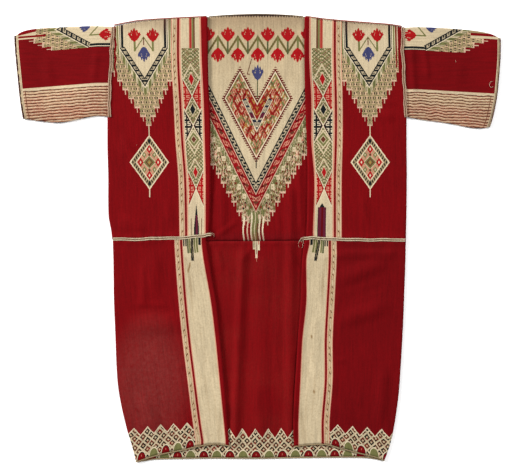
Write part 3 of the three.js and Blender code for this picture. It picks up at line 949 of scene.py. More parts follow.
    def close(self, roughness, sheen, normal=None):
        """Joins the colour and the relief to the surface."""
        shader = self.node("ShaderNodeBsdfPrincipled")
        self.feed(shader.inputs["Base Color"], self.colour)
        shader.inputs["Roughness"].default_value = roughness
        shader.inputs["Specular IOR Level"].default_value = 0.05
        shader.inputs["Sheen Weight"].default_value = sheen
        shader.inputs["Sheen Roughness"].default_value = 0.45
        if normal is not None:
            self.feed(shader.inputs["Normal"], normal)
        output = self.node("ShaderNodeOutputMaterial")
        self.tree.links.new(shader.outputs[0], output.inputs[0])


def flower(finish, across, up, dye, width=1.04, height=1.55):
    """A carnation. `up` counts from the foot of the flower to its tip."""
    filled = finish.chart(CARNATION, abs(across) / width, len(CARNATION) - up / height)
    finish.paint(dye, filled)


def lattice(across, along, pitch):
    """A net of slanting lines."""
    rising = (across + along).part(pitch) < 0.3
    falling = (across - along).part(pitch) < 0.3
    return rising | falling


def shoulder_motif(finish, h, y, reach, straight=49.5):
    """The stepped V of a shoulder or a sleeve's top. h is the distance from its middle line, y
    runs up from the tip at 229 to the seam, reach is as far out as it goes, and straight is where
    the V's upright sides are. Returns where the V's open middle is."""
    step = (h / 10.3 + 0.5).floor()
    low = step * 18.3 + 229.6
    within = h < reach
    drip = abs((h / 10.3 + 0.5).part(1) - 0.5) < 0.085
    finish.paint(BLUSH, drip & (y > low - 9) & within)
    inside = (y > low) & within
    finish.paint(CREAM_DUSKY, inside)
    # Bricks with dark upright marks, two to a brick and staggered, some of them lost.
    shift = (y / 9.15).floor().part(2) * 5.15
    brick = h + shift
    rows = y.part(9.15)
    kept = finish.noise(h * 0.13, y * 0.13, 6.2)
    finish.paint(TAN, inside & ((brick + 2.6).from_middle(10.3) < 2.9) & (rows < 0.8))
    finish.paint(OLIVE, inside & (rows > 0.8) & (kept > 0.5))
    finish.paint(INK, inside & (brick.from_middle(5.15) < 0.95) & rows.between(0.16, 0.66) & (kept > 0.4))
    finish.paint(BLUSH, inside & (y < low + 3.4))
    # Upright bars hang from the V like a fringe.
    slope = (y - 310 - h * 1.6) / 1.887
    bars = inside & (slope > -9.5)
    finish.paint(CREAM, bars)
    finish.paint(OLIVE, bars & (h + 5.15).part(10.3).between(0.2, 0.8))
    finish.paint(GREEN, bars & (h.from_middle(5.15) < 0.6) & (kept > 0.45))
    strips = [(44, CREAM_LIGHT), (51, OLIVE), (54, CREAM), (55.4, OLIVE)]
    strips += [(57, CREAM), (59.6, BLUSH), (61, CREAM)]
    sides = finish.stripes(h, 44.0, 70.0, strips)
    finish.paint(sides, bars & (h > straight))
    # The V: a white line, a black one and a chain. Its sides run up straight above the chain.
    edge = slope.least(straight - h)
    slanted = slope < straight - h
    upright = 1 - slanted
    finish.paint(CREAM_LIGHT, inside & (edge > -1.6))
    finish.paint(BLACK, inside & (edge > 0))
    finish.paint(CREAM_LIGHT, inside & upright & edge.between(1.4, 2.8))
    link = finish.chart(LINK, (y / 10.4).part(1) * 5, (edge - 0.7) / 9.2 * 5)
    finish.paint(KEY_CREAM, inside & slanted & link & edge.between(1.6, 9.0))
    heart = inside & (edge > slanted * 2.4 + 7.6)
    finish.paint(CREAM, heart)
    return heart


# Where stripes of the opening edges begin: the wide band's pink line and its cream, the pink line
# that ends it, and the pink line and the cream of the narrow stripe.
EDGE_UPPER = (-43.5, -41.4, -2.6, 4.1, 5.8)
EDGE_LOWER = (-44, -42.4, -1.6, 4.0, 5.6)


def striped_edge(finish, stripe, y, starts):
    """The stripes along an opening edge: the wide cream band between pink lines, a red line, and a
    narrow cream stripe with thin wavering lines and faint marks down it."""
    band, wide, band_end, line, narrow = starts
    strips = [(-80, MADDER), (band, PINK), (wide, CREAM), (band_end, PINK), (0, MADDER)]
    strips += [(line, PINK), (narrow, CREAM), (14.8, PINK)]
    finish.paint(finish.stripes(stripe, -80.0, 40.0, strips), stripe < 16.6)
    kept = finish.noise(stripe * 0.1, y * 0.06, 2.9, detail=1.0)
    sway = stripe + (y * 0.21).sine() * 0.6
    finish.paint(TAN, stripe.between(7.0, 13.4))
    lines = sway.between(7.4, 8.7) | sway.between(11.6, 12.9)
    finish.paint(THREAD_TAN, lines * finish.ease(kept, 0.35, 0.6, 0.25, 0.8))
    finish.paint(CREAM, sway.between(9.2, 11.0) & (kept < 0.5))
    finish.paint(BROWN, sway.between(9.0, 11.8) & ((y + stripe * 1.4).part(12.6) < 0.24) & (kept > 0.44))


def band_figures(finish, stripe, y):
    """The wide cream band's own figures, from the neck down."""
    b = abs(stripe + 21.5)
    inside = b < 17.2
    neck = y > 388
    finish.paint(ROSE, stripe.between(-24.6, -19.4) & neck)
    finish.paint(SCARLET, stripe.between(-23.4, -21.2) & neck)
    finish.paint(OLIVE, stripe.between(-28.6, -24.6) & neck)
    finish.paint(BROWN, stripe.between(-31.4, -28.6) & neck)
    # A field of small lozenges.
    kept = finish.noise(stripe * 0.12, y * 0.12, 3.3)
    field = inside & y.between(98, 389)
    finish.paint(CREAM_DUSKY, field)
    finish.paint(CREAM, field & ((b + y).from_middle(7.4) < 1.2) & (kept > 0.4))
    finish.paint(OLIVE, field & ((b - y).from_middle(7.4) < 1.6))
    finish.paint(GREEN, field & ((b + y + 3.7).from_middle(7.4) < 1.1) & (kept > 0.46))
    finish.paint(BROWN, field & ((b - y + 3.7).from_middle(14.8) < 0.9) & (kept < 0.52))
    for level, dye, wide, tall in (
        (326, SCARLET, 5.2, 12.5),
        (263.5, BLACK, 5.6, 11.5),
        (202, OLIVE, 11, 15),
        (202, BROWN, 5, 7),
        (134.5, SCARLET, 5.2, 11.5),
    ):
        away = b / wide + abs(y - level) / tall
        finish.paint(CREAM, away < 1.26)
        finish.paint(dye, away < 1)
    marks = finish.chart(HOOK, ((b - 3.2) / 9.6).part(1) * 6, (y / 13.4).part(1) * 7)
    for level, tall, dye, light in (
        (291, 33, SCARLET, PINK),
        (230, 31, BLACK, CREAM_LIGHT),
        (101, 33, SCARLET, PINK),
    ):
        wing = 1 - (17.2 - b) / 15.6 - abs(y - level) / tall
        finish.paint(CREAM_LIGHT, inside & (wing > -0.19))
        finish.paint(BROWN, inside & (wing > -0.07))
        finish.paint(dye, inside & (wing > 0))
        finish.paint(light, inside & (wing > 0.1) & marks)

    def frame_at(level, tall):
        return abs(b / 15.5 + abs(y - level) / tall - 1) < 0.09

    # Loose diamond frames cross the field where no wing is.
    frame_high = frame_at(326, 30)
    frame_low = frame_at(202, 30) | frame_at(134, 28)
    finish.paint(CREAM, inside & ((frame_high & (y > 326)) | (frame_low & y.between(140, 196))))


def front_upper(name, side):
    """A front of the upper width: the edge band, the shoulder motif and the hanging diamond."""
    finish = Finish(name)
    weave = finish.layout("stripes")
    stripe, y = weave
    m, _ = finish.layout("motif")
    stripe = stripe.step_to(THREAD_ACROSS)
    y = y.step_to(THREAD_ALONG)
    m = m.step_to(THREAD_ACROSS)
    h = abs(m)
    finish.paint(MADDER)
    # The shoulder motif, its two flowers and the blue one between them.
    heart = shoulder_motif(finish, h, y, 67.0 if side == "left" else 63.0)
    finish.paint(OLIVE, heart & (abs(y - 412 + h * 1.5) < 1.9) & (h < 19))
    finish.paint(OLIVE, heart & (abs(h - 18.5) < 2.0) & y.between(383, 405))
    flower(finish, h - 19, y - 401, SCARLET)
    finish.paint(BROWN, heart & (h < 0.8) & y.between(396, 412))
    flower(finish, m, 394 - y, BLUE, 1.0, 1.7)
    finish.paint(CREAM, (h < 0.9) & y.between(208, 232))
    # A red line beside the armhole, wavy on the left side.
    if side == "left":
        waved = m + (y * 0.21).sine() * 0.9 + (y * 0.083).sine() * 0.8
        finish.paint(MADDER, waved.between(56.8, 61.2) & (y > 322))
    else:
        finish.paint(MADDER, m.between(56.4, 59.0) & (y > 350))
        finish.paint(MADDER, m > 61.0)
    finish.paint(BROWN, finish.ease(y + finish.noise(m * 0.03, y * 0.02, 2.0) * 30, 428, 466, 0, 0.4))
    hanging_diamond(finish, h, y)
    # The stripes along the opening edge.
    striped_edge(finish, stripe, y, EDGE_UPPER)
    band_figures(finish, stripe, y)
    if side == "left":
        wedge = (70 - y) * 0.12
        finish.paint(BLACK, (abs(stripe + 21.8) < wedge.least(6.0)) & (y < 70))
        finish.paint(PURPLE, stripe.between(-25.0, -20.2) & (y < 46))
        finish.paint(BROWN, (abs(stripe + 9.6) < 0.7) & (y < 40))
        finish.paint(BROWN, (abs(stripe + 34) < 0.7) & (y < 40))
    else:
        finish.paint(BLACK, (abs(stripe + 25.6) + (y - 62) * 0.7 < 6.4) & (y > 60))
        finish.paint(BLACK, stripe.between(-34.6, -16.6) & (y < 63))
        finish.paint(PURPLE, stripe.between(-33.2, -26.8) & (y < 63))
        finish.paint(MADDER_DARK, stripe.between(-26.8, -23) & (y < 63))
        finish.paint(PURPLE, stripe.between(-23, -17.0) & (y < 63))
    return finish.cloth(weave)


def hanging_diamond(finish, h, y):
    """The diamond that hangs from a shoulder motif."""
    d = abs(y - 155)
    edge = 1 - h / 40.3 - d / 56.5
    finish.paint(CREAM_LIGHT, edge > 0)
    finish.paint(CREAM_DUSKY, edge.between(0.07, 0.30))
    ticks = (d + edge * 34).part(4.9) < 0.5
    finish.paint(BLACK, edge.between(0.1, 0.27) & ticks)
    finish.paint(BLACK, h / 3.4 + abs(d - 43) / 6.6 < 1)
    core = edge > 0.36
    finish.paint(CREAM_DUSKY, core)
    finish.paint(PINK, core & lattice(h * 1.5, d, 9.0))
    finish.paint(OLIVE, abs(h - 10.4) / 4.6 + abs(d - 15.4) / 6.6 < 1)
    finish.paint(CREAM, abs(h - 10.4) / 1.8 + abs(d - 15.4) / 2.8 < 1)
    finish.paint(CREAM, h / 14 + d / 14.6 < 1)
    finish.paint(OLIVE, h / 12.4 + d / 13 < 1)
    finish.paint(BROWN, (h / 8 + d / 9.4 < 1) & (h / 5 + d / 6.2 > 1))
    finish.paint(OCHRE, h / 2.6 + d / 3.4 < 1)
    finish.paint(BROWN, h / 2.8 + abs(d - 15.6) / 3.6 < 1)
    finish.paint(SCARLET, h / 6.4 + abs(d - 27) / 9.4 < 1)
    finish.paint(SCARLET, abs(h - 18) / 6.2 + d / 9.6 < 1)
    eye = (h / 2.0 + abs(d - 27) / 3.6 < 1) | (abs(h - 18) / 2.0 + d / 3.4 < 1)
    finish.paint(CREAM_LIGHT, eye)
    finish.paint(CREAM_LIGHT, (h < 0.9) & y.between(83, 100))


def back_upper(name):
    """The back of the upper width: flowers at the neck, a double-peaked diamond and a great V."""
    finish = Finish(name)
    weave = finish.layout("stripes")
    p, y = weave
    p = p.step_to(THREAD_ACROSS)
    y = y.step_to(THREAD_ALONG)
    h = abs(p)
    finish.paint(MADDER)
    great_border(finish, p, h, y)
    # The great V: a red band with pale hooks, and a black one with a key, between white lines.
    fall = y - h * 2.0
    finish.paint(BLUSH, fall > 51)
    finish.paint(CRIMSON, fall.between(54.2, 87.5))
    worn = finish.noise(p * 0.09, y * 0.07, 8.8)
    marks = finish.chart(HOOK, ((y + fall * 0.35) / 19.0).part(1) * 6, (fall - 57) / 27 * 7)
    finish.paint(PINK, fall.between(57, 84) & marks & (worn > 0.42))
    finish.paint(ROSE, fall.between(57, 84) & marks & worn.between(0.52, 0.62))
    finish.paint(MADDER_DARK, fall.between(57, 84) & (1 - marks) & (worn > 0.56))
    finish.paint(BROWN, (y.from_middle(36) / 4 + abs(fall - 70) / 9) < 1)
    finish.paint(BLACK, fall.between(91.0, 114.0))
    keys = finish.chart(KEY, (y / 12.4).part(1) * 6, (fall - 91.4) / 22.2 * 5)
    finish.paint(KEY_CREAM, fall.between(91.8, 113.2) & keys)
    field = fall > 114
    finish.paint(CREAM, field)
    soiled = finish.noise(p * 0.014, y * 0.02, 6.1, detail=3.0)
    finish.paint(THREAD_TAN, field & finish.ease(y + soiled * 160, 300, 520, 0.02, 0.3))
    grain = finish.noise(p * 0.3, y * 0.24, 2.2, detail=3.0, roughness=0.7)
    finish.paint(THREAD_TAN, field & finish.ease(grain, 0.5, 0.74, 0.0, 0.28))
    # Two rows of carnations on a running vine.
    near = p.from_middle(41)
    vine = abs(y - 412.7 + near * 1.58)
    finish.paint(OLIVE, field & (vine < 4.4))
    finish.paint(BROWN, field & (vine < 1.2))
    finish.paint(OLIVE, field & (near < 2.0) & y.between(388, 412))
    finish.paint(GREEN, field & (near > 18.8) & y.between(378, 404))
    flower(finish, 20.5 - near, y - 402, SCARLET, 1.15, 1.65)
    flower(finish, near, 391.5 - y, SCARLET, 1.12, 1.62)
    # The blue flower on its stem.
    finish.paint(GREEN, (h < 0.9) & y.between(286, 330))
    flower(finish, p, y - 322, BLUE, 0.94, 1.75)
    finish.paint(BROWN, (abs(p + 12.5 - (y - 368) * 0.277) < 0.8) & y.between(337, 368))
    finish.paint(BROWN, (abs(p + 19) < 3.0) & y.between(335, 337.4))
    double_diamond(finish, p, h, y)
    # Tarnished and rubbed towards the neck. Just above the waist seam the red is darkened with painted
    # shade, for the seam's shadow.
    finish.paint(MADDER_DARK, finish.ease(y, 0, 18, 0.5, 0.0))
    finish.paint(BROWN, finish.ease(y, 408, 464, 0.0, 0.36))
    finish.paint(THREAD_DARK, (y + p.from_middle(5.6) * 1.6 > 457) & (h < 96))
    return finish.cloth(weave)


# Old stains on the pale bands: place across the stripes, height on the jacket, and size.
STAINS = {
    "left": ((-12.5, -57, 9.0), (-9, -66, 8.0)),
    "right": ((-26, -203, 5.0), (-18, -316, 5.0)),
}


def front_lower(name, side):
    """A front of the lower width: the band goes on, and the hem has its zigzag border."""
    finish = Finish(name)
    weave = finish.layout("stripes")
    stripe, y = weave
    m, rise = finish.layout("motif")
    stripe = stripe.step_to(THREAD_ACROSS)
    y = y.step_to(THREAD_ALONG)
    finish.paint(MADDER if side == "left" else MADDER_DEEP)
    if side == "left":
        # A rubbed, dusty bloom.
        away = (m / 74) * (m / 74) + ((y + 300) / 125) * ((y + 300) / 125)
        rubbed = finish.noise(m * 0.12, y * 0.12, 3.9, detail=4.0, roughness=0.8)
        finish.paint(DUST, finish.ease(away, 0.0, 1.8, 0.19, 0.0) * finish.ease(rubbed, 0.0, 0.9))
        zigzag = {"pitch": 27.0, "peak": 65.0, "slope": 1.2, "tilt": 0.14}
        hem_border(finish, m - 5.2, rise, disc_pitch=24.9, disc_start=12.1, disc_half=8.2, **zigzag)
    else:
        zigzag = {"pitch": 30.1, "peak": 56.6, "slope": 1.2, "tilt": 0.165}
        hem_border(finish, m + 5.8, rise, disc_pitch=26.4, disc_start=-11.8, disc_half=8.6, **zigzag)
    striped_edge(finish, stripe, y, EDGE_LOWER)
    lean = stripe + (y + 6) * (0.05 if side == "left" else -0.09)
    for left, right, low, dye in (
        (-41.6, -36.2, -15, BLACK),
        (-34.8, -30.4, -30, OLIVE),
        (-28.8, -25.6, -31, OLIVE),
        (-17.6, -14.4, -31, OLIVE),
        (-13.4, -10.4, -32, GREEN),
        (-9.4, -6.8, -18, BLACK),
        (-4.4, -1.8, -18, BLACK),
    ):
        finish.paint(dye, stripe.between(left, right) & (y > low))
    finish.paint(BLACK, lean.between(-24.9, -19.0) & (y > -47))
    finish.paint(CREAM_DUSKY, lean.between(-22.3, -21.6) & (y > -40))
    # Old stains on the pale band, and long faint streaks where it has been folded.
    for across, level, size in STAINS[side]:
        over = (stripe - across + (y - level) * 0.2) / 2.4
        up = (y - level) / size
        finish.paint(THREAD_TAN, finish.ease(over * over + up * up, 0.1, 1.2, 0.8, 0.0))
    pale = stripe.between(-42, -2)
    tarnish = finish.noise(stripe * 0.09, y * 0.006, 8.0, detail=3.0)
    finish.paint(THREAD_TAN, pale & (1 - (y > -40)) * finish.ease(tarnish, 0.5, 0.72, 0.0, 0.4))
    grain = finish.noise(stripe * 0.3, y * 0.22, 2.2, detail=3.0, roughness=0.7)
    finish.paint(THREAD_TAN, pale & (1 - (y > -40)) * finish.ease(grain, 0.5, 0.74, 0.0, 0.3))
    return finish.cloth(weave)


def great_border(finish, p, h, y):
    """The stepped border below the great V, and the long drips at its tip."""
    step = ((h - 29) / 10.7 + 1).floor()
    low = step * 19.3 + 33.5
    over = y - low
    outer = h > 18.3
    drip = abs(((h - 29) / 10.7).part(1) - 0.5) < 0.085
    finish.paint(BLUSH, drip & (over > -8) & outer)
    bricks = (over > 0) & outer
    finish.paint(CREAM_DUSKY, bricks)
    # Worked in wavering upright strokes of several colours.
    lost = finish.noise(h * 0.16, y * 0.11, 3.7)
    waver = h + (lost - 0.5) * 9
    streak = finish.noise(waver * 0.58, y * 0.085, 1.3, roughness=0.65)
    middle = bricks & (over > 5)
    finish.paint(CREAM, middle & streak.between(0.53, 0.57))
    finish.paint(BLUSH, middle & (streak > 0.57))
    finish.paint(OLIVE, middle & streak.between(0.41, 0.50))
    finish.paint(MADDER, middle & streak.between(0.34, 0.42) & (lost > 0.4))
    finish.paint(SALMON, middle & (streak > 0.63))
    finish.paint(GREEN, middle & (streak < 0.36) & (lost < 0.5))
    marks = (waver.from_middle(5.35) < 1.0) & (y + waver * 0.4).part(9.65).between(0.1, 0.6)
    finish.paint(BROWN, middle & marks & (lost > 0.44))
    finish.paint(INK, middle & marks & (lost > 0.54))
    finish.paint(MADDER_DARK, middle & marks & (lost < 0.42))
    finish.paint(BLUSH, bricks & (over < 4.2))
    finish.paint(INK, bricks & over.between(2.8, 7.5) & (h.from_middle(5.35) < 0.7) & (streak < 0.54))
    column = (h - 29).part(10.7)
    fringe = bricks & (y - h * 2.0 > 32)
    finish.paint(OLIVE, fringe)
    finish.paint(GREEN, fringe & ((h + 1.5).part(5.35) < 0.26))
    finish.paint(CREAM, fringe & streak.between(0.55, 0.61))
    finish.paint(BROWN, fringe & (streak < 0.37))
    finish.paint(CREAM, bricks & over.between(47, 57) & column.between(0.16, 0.84))
    finish.paint(CREAM_DUSKY, bricks & over.between(50, 52.5) & column.between(0.36, 0.58))
    tip = (h < 18.3) & (y > 30)
    finish.paint(OLIVE, tip)
    finish.paint(GREEN, tip & ((h + y * 0.2).part(5.2) < 0.2))
    finish.paint(BLUSH, tip & (streak > 0.57))
    finish.paint(MADDER, tip & (streak < 0.39))
    bent = p + (y * 0.11).sine() * 1.3
    for left, right, top, dye in (
        (-27.2, -24.2, 44, CREAM_LIGHT),
        (-18.6, -15.8, 44, BLUSH),
        (-11.2, -8.2, 52, CREAM_LIGHT),
        (-8.2, 1.8, 52, OLIVE),
        (-3.2, -1.6, 52, CREAM),
        (2.6, 4.2, 30, GREEN),
        (5.4, 8.4, 46, CREAM_LIGHT),
        (9.6, 11.2, 40, MADDER_DARK),
        (12.8, 15.8, 44, CREAM_LIGHT),
    ):
        finish.paint(dye, bent.between(left, right) & y.between(-8, top))


def double_diamond(finish, p, h, y):
    """The double-peaked diamond in the middle of the back."""
    above = (y - 160.2 - h * 1.84) / 2.08
    edge = above.least((345.8 - y - abs(h - 36.3) * 1.82) / 2.08)
    finish.paint(MADDER_DARK, edge.between(-4.2, 0.2) & (y.part(4.6) < 0.5))
    finish.paint(MADDER_DARK, edge > -0.8)
    finish.paint(CREAM_LIGHT, edge > 1.6)
    body = edge > 3.6
    zones = [(150, BRICK), (172, OLIVE), (208, BRICK), (236, OLIVE), (252, BRICK), (312, OLIVE)]
    finish.paint(finish.stripes(y + abs(h - 30) * 0.3, 150.0, 360.0, zones), body)
    finish.paint(OLIVE, body & (h > 50) & y.between(262, 300))
    finish.paint(OLIVE, body & (abs(h - 36.3) < 10) & (y > 306))
    cross = finish.noise(p * 0.10, y * 0.08, 1.1)
    bend = (cross - 0.5) * 16
    finish.paint(OCHRE, body & cross.between(0.57, 0.62))
    finish.paint(GREEN, body & cross.between(0.38, 0.43))
    column = ((y + h * 1.84 + bend * 1.6) / 31).part(1) * 6
    row = ((above + bend * 0.4) / 15.5).part(1) * 7
    curl = finish.chart(HOOK, column, row)
    finish.paint(SALMON, body & curl & (cross < 0.56))
    finish.paint(CREAM, body & curl & (cross > 0.53))
    other = finish.chart(HOOK, ((y - h * 0.6 - bend) / 19).part(1) * 6, (above / 13.5 + 0.5).part(1) * 7)
    finish.paint(MADDER, body & other & (1 - curl) & (edge > 5.4) & (cross < 0.5))
    # An inner V of black and white, and an orange heart in it.
    deep = y - 216.4 - h * 2.1
    arm = (y + h * 0.5 < 299) & body
    finish.paint(CREAM_LIGHT, arm & deep.between(0, 4))
    finish.paint(NAVY, arm & deep.between(4, 21))
    wave = finish.chart(HOOK, (y / 15.0).part(1) * 6, (deep - 4.4) / 16.6 * 7)
    finish.paint(CREAM, arm & deep.between(4, 21) & wave)
    finish.paint(PURPLE, arm & deep.between(4, 21) & y.between(246, 256))
    finish.paint(CREAM_LIGHT, arm & deep.between(21, 24))
    finish.paint(BRICK, arm & (deep > 25) & (h < 13))
    finish.paint(OCHRE, arm & (deep > 27) & curl)
    finish.paint(BLACK, (h < 0.8) & y.between(143, 160))


def hem_border(finish, x, rise, pitch, peak, slope, disc_pitch, disc_start, disc_half, tilt=0.0):
    """A zigzag with a net of small marks, over a row of half discs, red and green in turn."""
    waver = finish.noise(x * 0.05, rise * 0.05, 5.5)
    place = x + (waver - 0.5) * 5
    tooth = place.from_middle(pitch)
    top = peak - tooth * slope + x * tilt
    inside = rise < top
    finish.paint(CREAM_LIGHT, inside)
    worked = rise < top - 2.8
    height = rise + (waver - 0.5) * 7
    rising = place * 1.06 + height
    falling = place * 1.06 - height
    kept = finish.noise(x * 0.14, rise * 0.14, 7.7)
    finish.paint(BROWN, worked)
    finish.paint(INK, worked & (kept > 0.5))
    finish.paint(MADDER, worked & (kept < 0.37))
    ring = rising.from_middle(18.0).most(falling.from_middle(18.0))
    finish.paint(KEY_CREAM, worked & (ring > 6.7))
    finish.paint(CREAM, worked & (ring > 6.7) & (kept > 0.44))
    finish.paint(TAN, worked & (ring < 2.6))
    finish.paint(CREAM, worked & (ring < 2.6) & kept.between(0.42, 0.54))
    nearest = (x - disc_start) / disc_pitch + 0.5
    across = (nearest.part(1) - 0.5) * disc_pitch
    disc = (across / disc_half) * (across / disc_half) + (rise / 15.0) * (rise / 15.0)
    finish.paint(CREAM_LIGHT, disc < 1.45)
    finish.paint(OLIVE, disc < 1.1)
    red = nearest.floor().part(2) < 0.25
    finish.paint(THREAD_DARK, (disc < 1.1) & red)
    finish.paint(MADDER, (disc < 0.84) & red)
    finish.paint(ROSE, (abs(across) < 0.8) & rise.between(6, 10) & red)


def back_lower(name):
    """The back of the lower width: the V's tip at the seam, plain ground, and the hem's border."""
    finish = Finish(name)
    weave = finish.layout("stripes")
    p, y = weave
    x, rise = finish.layout("motif")
    p = p.step_to(THREAD_ACROSS)
    y = y.step_to(THREAD_ALONG)
    finish.paint(MADDER)
    for left, right, low, dye in (
        (-7.4, -3.2, -24, CREAM),
        (-5.8, -4.6, -20, GREEN),
        (-3.2, 2.2, -30, OLIVE),
        (2.2, 6.6, -26, CREAM_LIGHT),
        (3.8, 5.0, -14, SCARLET),
        (-2.6, 2.0, -42, CREAM_LIGHT),
        (-0.6, 0.4, -49, PINK),
    ):
        finish.paint(dye, p.between(left, right) & (y > low))
    finish.paint(MADDER_DARK, p.between(-0.9, 0.1) & y.between(-34, -8))
    # Painted shade: the red darkens just below the waist seam, for the seam's shadow.
    finish.paint(MADDER_DARK, finish.ease(y, -14, 0, 0.0, 0.5))
    zigzag = {"pitch": 26.6, "peak": 62.0, "slope": 1.5}
    hem_border(finish, x + 4.4, rise + 2.0, disc_pitch=26.9, disc_start=1.6, disc_half=9.6, **zigzag)
    return finish.cloth(weave, dust=0.03)


def sleeve_finish(name, side):
    """A sleeve: the motif on the top fold, plain red, and fine stripes on the underarm half."""
    finish = Finish(name)
    across, along = finish.layout("weave")
    reach, fall = finish.layout("stripes")
    cuff, _ = finish.layout("motif")
    reach = reach.step_to(THREAD_ALONG)
    fall = fall.step_to(THREAD_ACROSS)
    finish.paint(MADDER_DEEP)
    h = abs(fall)
    # The shoulder's figure again, turned so that its tip points to the cuff.
    if side == "left":
        wide, scale, tip, stripes_from = 42.6, 1.04, 427, 116.5
    else:
        wide, scale, tip, stripes_from = 47.4, 1.0, 432, 127.5
    heart = shoulder_motif(finish, h * scale, tip - reach, wide * scale, wide * scale - 0.4)
    finish.paint(OLIVE, heart & (abs(reach - 31 - h * 0.9) < 1.7) & (h < 18))
    finish.paint(OLIVE, heart & (abs(h - 17) < 1.6) & reach.between(26, 47))
    flower(finish, h - 17, 29 - reach, SCARLET, 0.96, 1.5)
    flower(finish, h, reach - 46, BLUE, 0.80, 1.2)
    # Stripes run on from the tip to the cuff.
    if side == "left":
        finish.paint(CREAM, (reach > 157) & (h < 15.2))
        finish.paint(MADDER, (reach > 157) & (fall - (reach - 157) * 0.17 < 0.6) & (h < 9))
        finish.paint(MADDER, (reach > 136) & h.between(8.0, 12.0))
    else:
        finish.paint(CREAM_DUSKY, (reach > 139) & (h < 15.4))
        finish.paint(CREAM, (reach > 139) & h.between(11, 15.4))
        finish.paint(MADDER, (reach > 139) & h.between(5.6, 10.8))
    # The underarm stripes: dark lines, all wavering together.
    wave = finish.noise(reach * 0.055, fall * 0.03, 3.0)
    hue = finish.noise(reach * 0.022, fall * 0.05, 7.0, detail=3.0)
    thick = finish.noise(reach * 0.10, fall * 0.16, 5.0)
    lined = fall + (wave - 0.5) * (4.5 if side == "left" else 8.0) - stripes_from
    under = fall > stripes_from
    pitch = 6.15 if side == "left" else 5.9
    finish.paint(TAN, under)
    finish.paint(CREAM, under & (lined < 6))
    deep = lined - (10 if side == "left" else 24)
    share = finish.ease(deep, -10, 26, 0.15, 0.75) * finish.ease(hue, 0.35, 0.6, 0.5, 1.0)
    finish.paint(SALMON, under & share)
    place = lined.part(pitch) + (thick - 0.5) * 0.5
    finish.paint(CREAM_LIGHT, under & place.between(0.5, 0.66))
    worked = under & (lined > 5)
    finish.paint(ROSE, worked & place.between(0.26, 0.4) * finish.ease(hue, 0.42, 0.6, 0.2, 1.0))
    finish.paint(BROWN, worked & place.between(-0.08, 0.33) * finish.ease(hue, 0.3, 0.6, 0.85, 1.0))
    finish.paint(THREAD_DARK, worked & place.between(0.0, 0.16))
    finish.paint(BROWN, worked & (reach.between(5.4, 6.8) | cuff.between(10.0, 11.4)))
    # Pale lines along the cuff and the armhole, and the dark overcast edge.
    edge = 1.8 if side == "left" else 0.4
    finish.paint(CREAM, cuff < edge + 4.0)
    finish.paint(BROWN, cuff.between(edge + 1.4, edge + 2.1))
    finish.paint(THREAD_DARK, cuff < edge)
    tick = finish.noise(along * 0.16, cuff * 0.1, 4.4, roughness=0.7)
    finish.paint(CREAM_DUSKY, (cuff < edge) & (tick > 0.56))
    finish.paint(CREAM, reach < 2.0)
    finish.paint(BROWN, reach.between(2.0, 2.8))
    finish.paint(BROWN, finish.ease(fall, 112, 190, 0.0, 0.22))
    return finish.cloth((along, across), wear=0.5)


def cord_finish(name, light, dark, lay=0.5, flecks=None):
    """A twisted cord: its strands' own shading, fibres along them, and now and then a fleck."""
    finish = Finish(name)
    turn, along = finish.layout("weave")
    fibre = finish.noise(turn * 2.5, along * 1.3, 0.4, detail=3.0)
    broad = finish.noise(turn * 0.2, along * 0.05, 5.0)
    finish.paint(light)
    finish.paint(dark, finish.ease(fibre, 0.45, 0.7, 0.0, lay))
    finish.paint(dark, finish.ease(broad, 0.5, 0.75, 0.0, 0.5))
    if flecks is not None:
        tick = finish.noise(turn * 0.1, along * 0.16, 2.0, roughness=0.7)
        finish.paint(flecks, finish.ease(tick, 0.54, 0.6, 0.0, 0.8))
    bump = finish.node("ShaderNodeBump")
    bump.inputs["Strength"].default_value = 0.5
    bump.inputs["Distance"].default_value = 0.2 * MM
    finish.feed(bump.inputs["Height"], fibre)
    finish.close(0.8, 0.3, bump.outputs[0])
    return finish.material


def resample(points, step):
    """A smooth line through points, with a point every `step` millimetres."""
    points = np.asarray(points, float)
    ghost = np.concatenate([[2 * points[0] - points[1]], points, [2 * points[-1] - points[-2]]])
    t = np.linspace(0, 1, 13)[:-1, None]
    out = []
    for a, b, c, d in zip(ghost, ghost[1:], ghost[2:], ghost[3:]):
        bend = (2 * a - 5 * b + 4 * c - d) * t**2
        turn = (3 * b - a - 3 * c + d) * t**3
        out.append(0.5 * (2 * b + (c - a) * t + bend + turn))
    line = np.concatenate([*out, points[-1:]])
    length = np.concatenate([[0], np.cumsum(np.linalg.norm(np.diff(line, axis=0), axis=1))])
    count = max(int(length[-1] / step), 2)
    at = np.linspace(0, length[-1], count + 1)
    return np.stack([np.interp(at, length, line[:, k]) for k in range(3)], axis=1), at


def frames(line, level):
    """Side and up directions along a line."""
    along = np.gradient(line, axis=0)
    along /= np.linalg.norm(along, axis=1)[:, None]
    level = np.broadcast_to(np.asarray(level, float), line.shape)
    up = level - along * np.sum(level * along, axis=1)[:, None]
    up /= np.linalg.norm(up, axis=1)[:, None]
    return np.cross(up, along), up


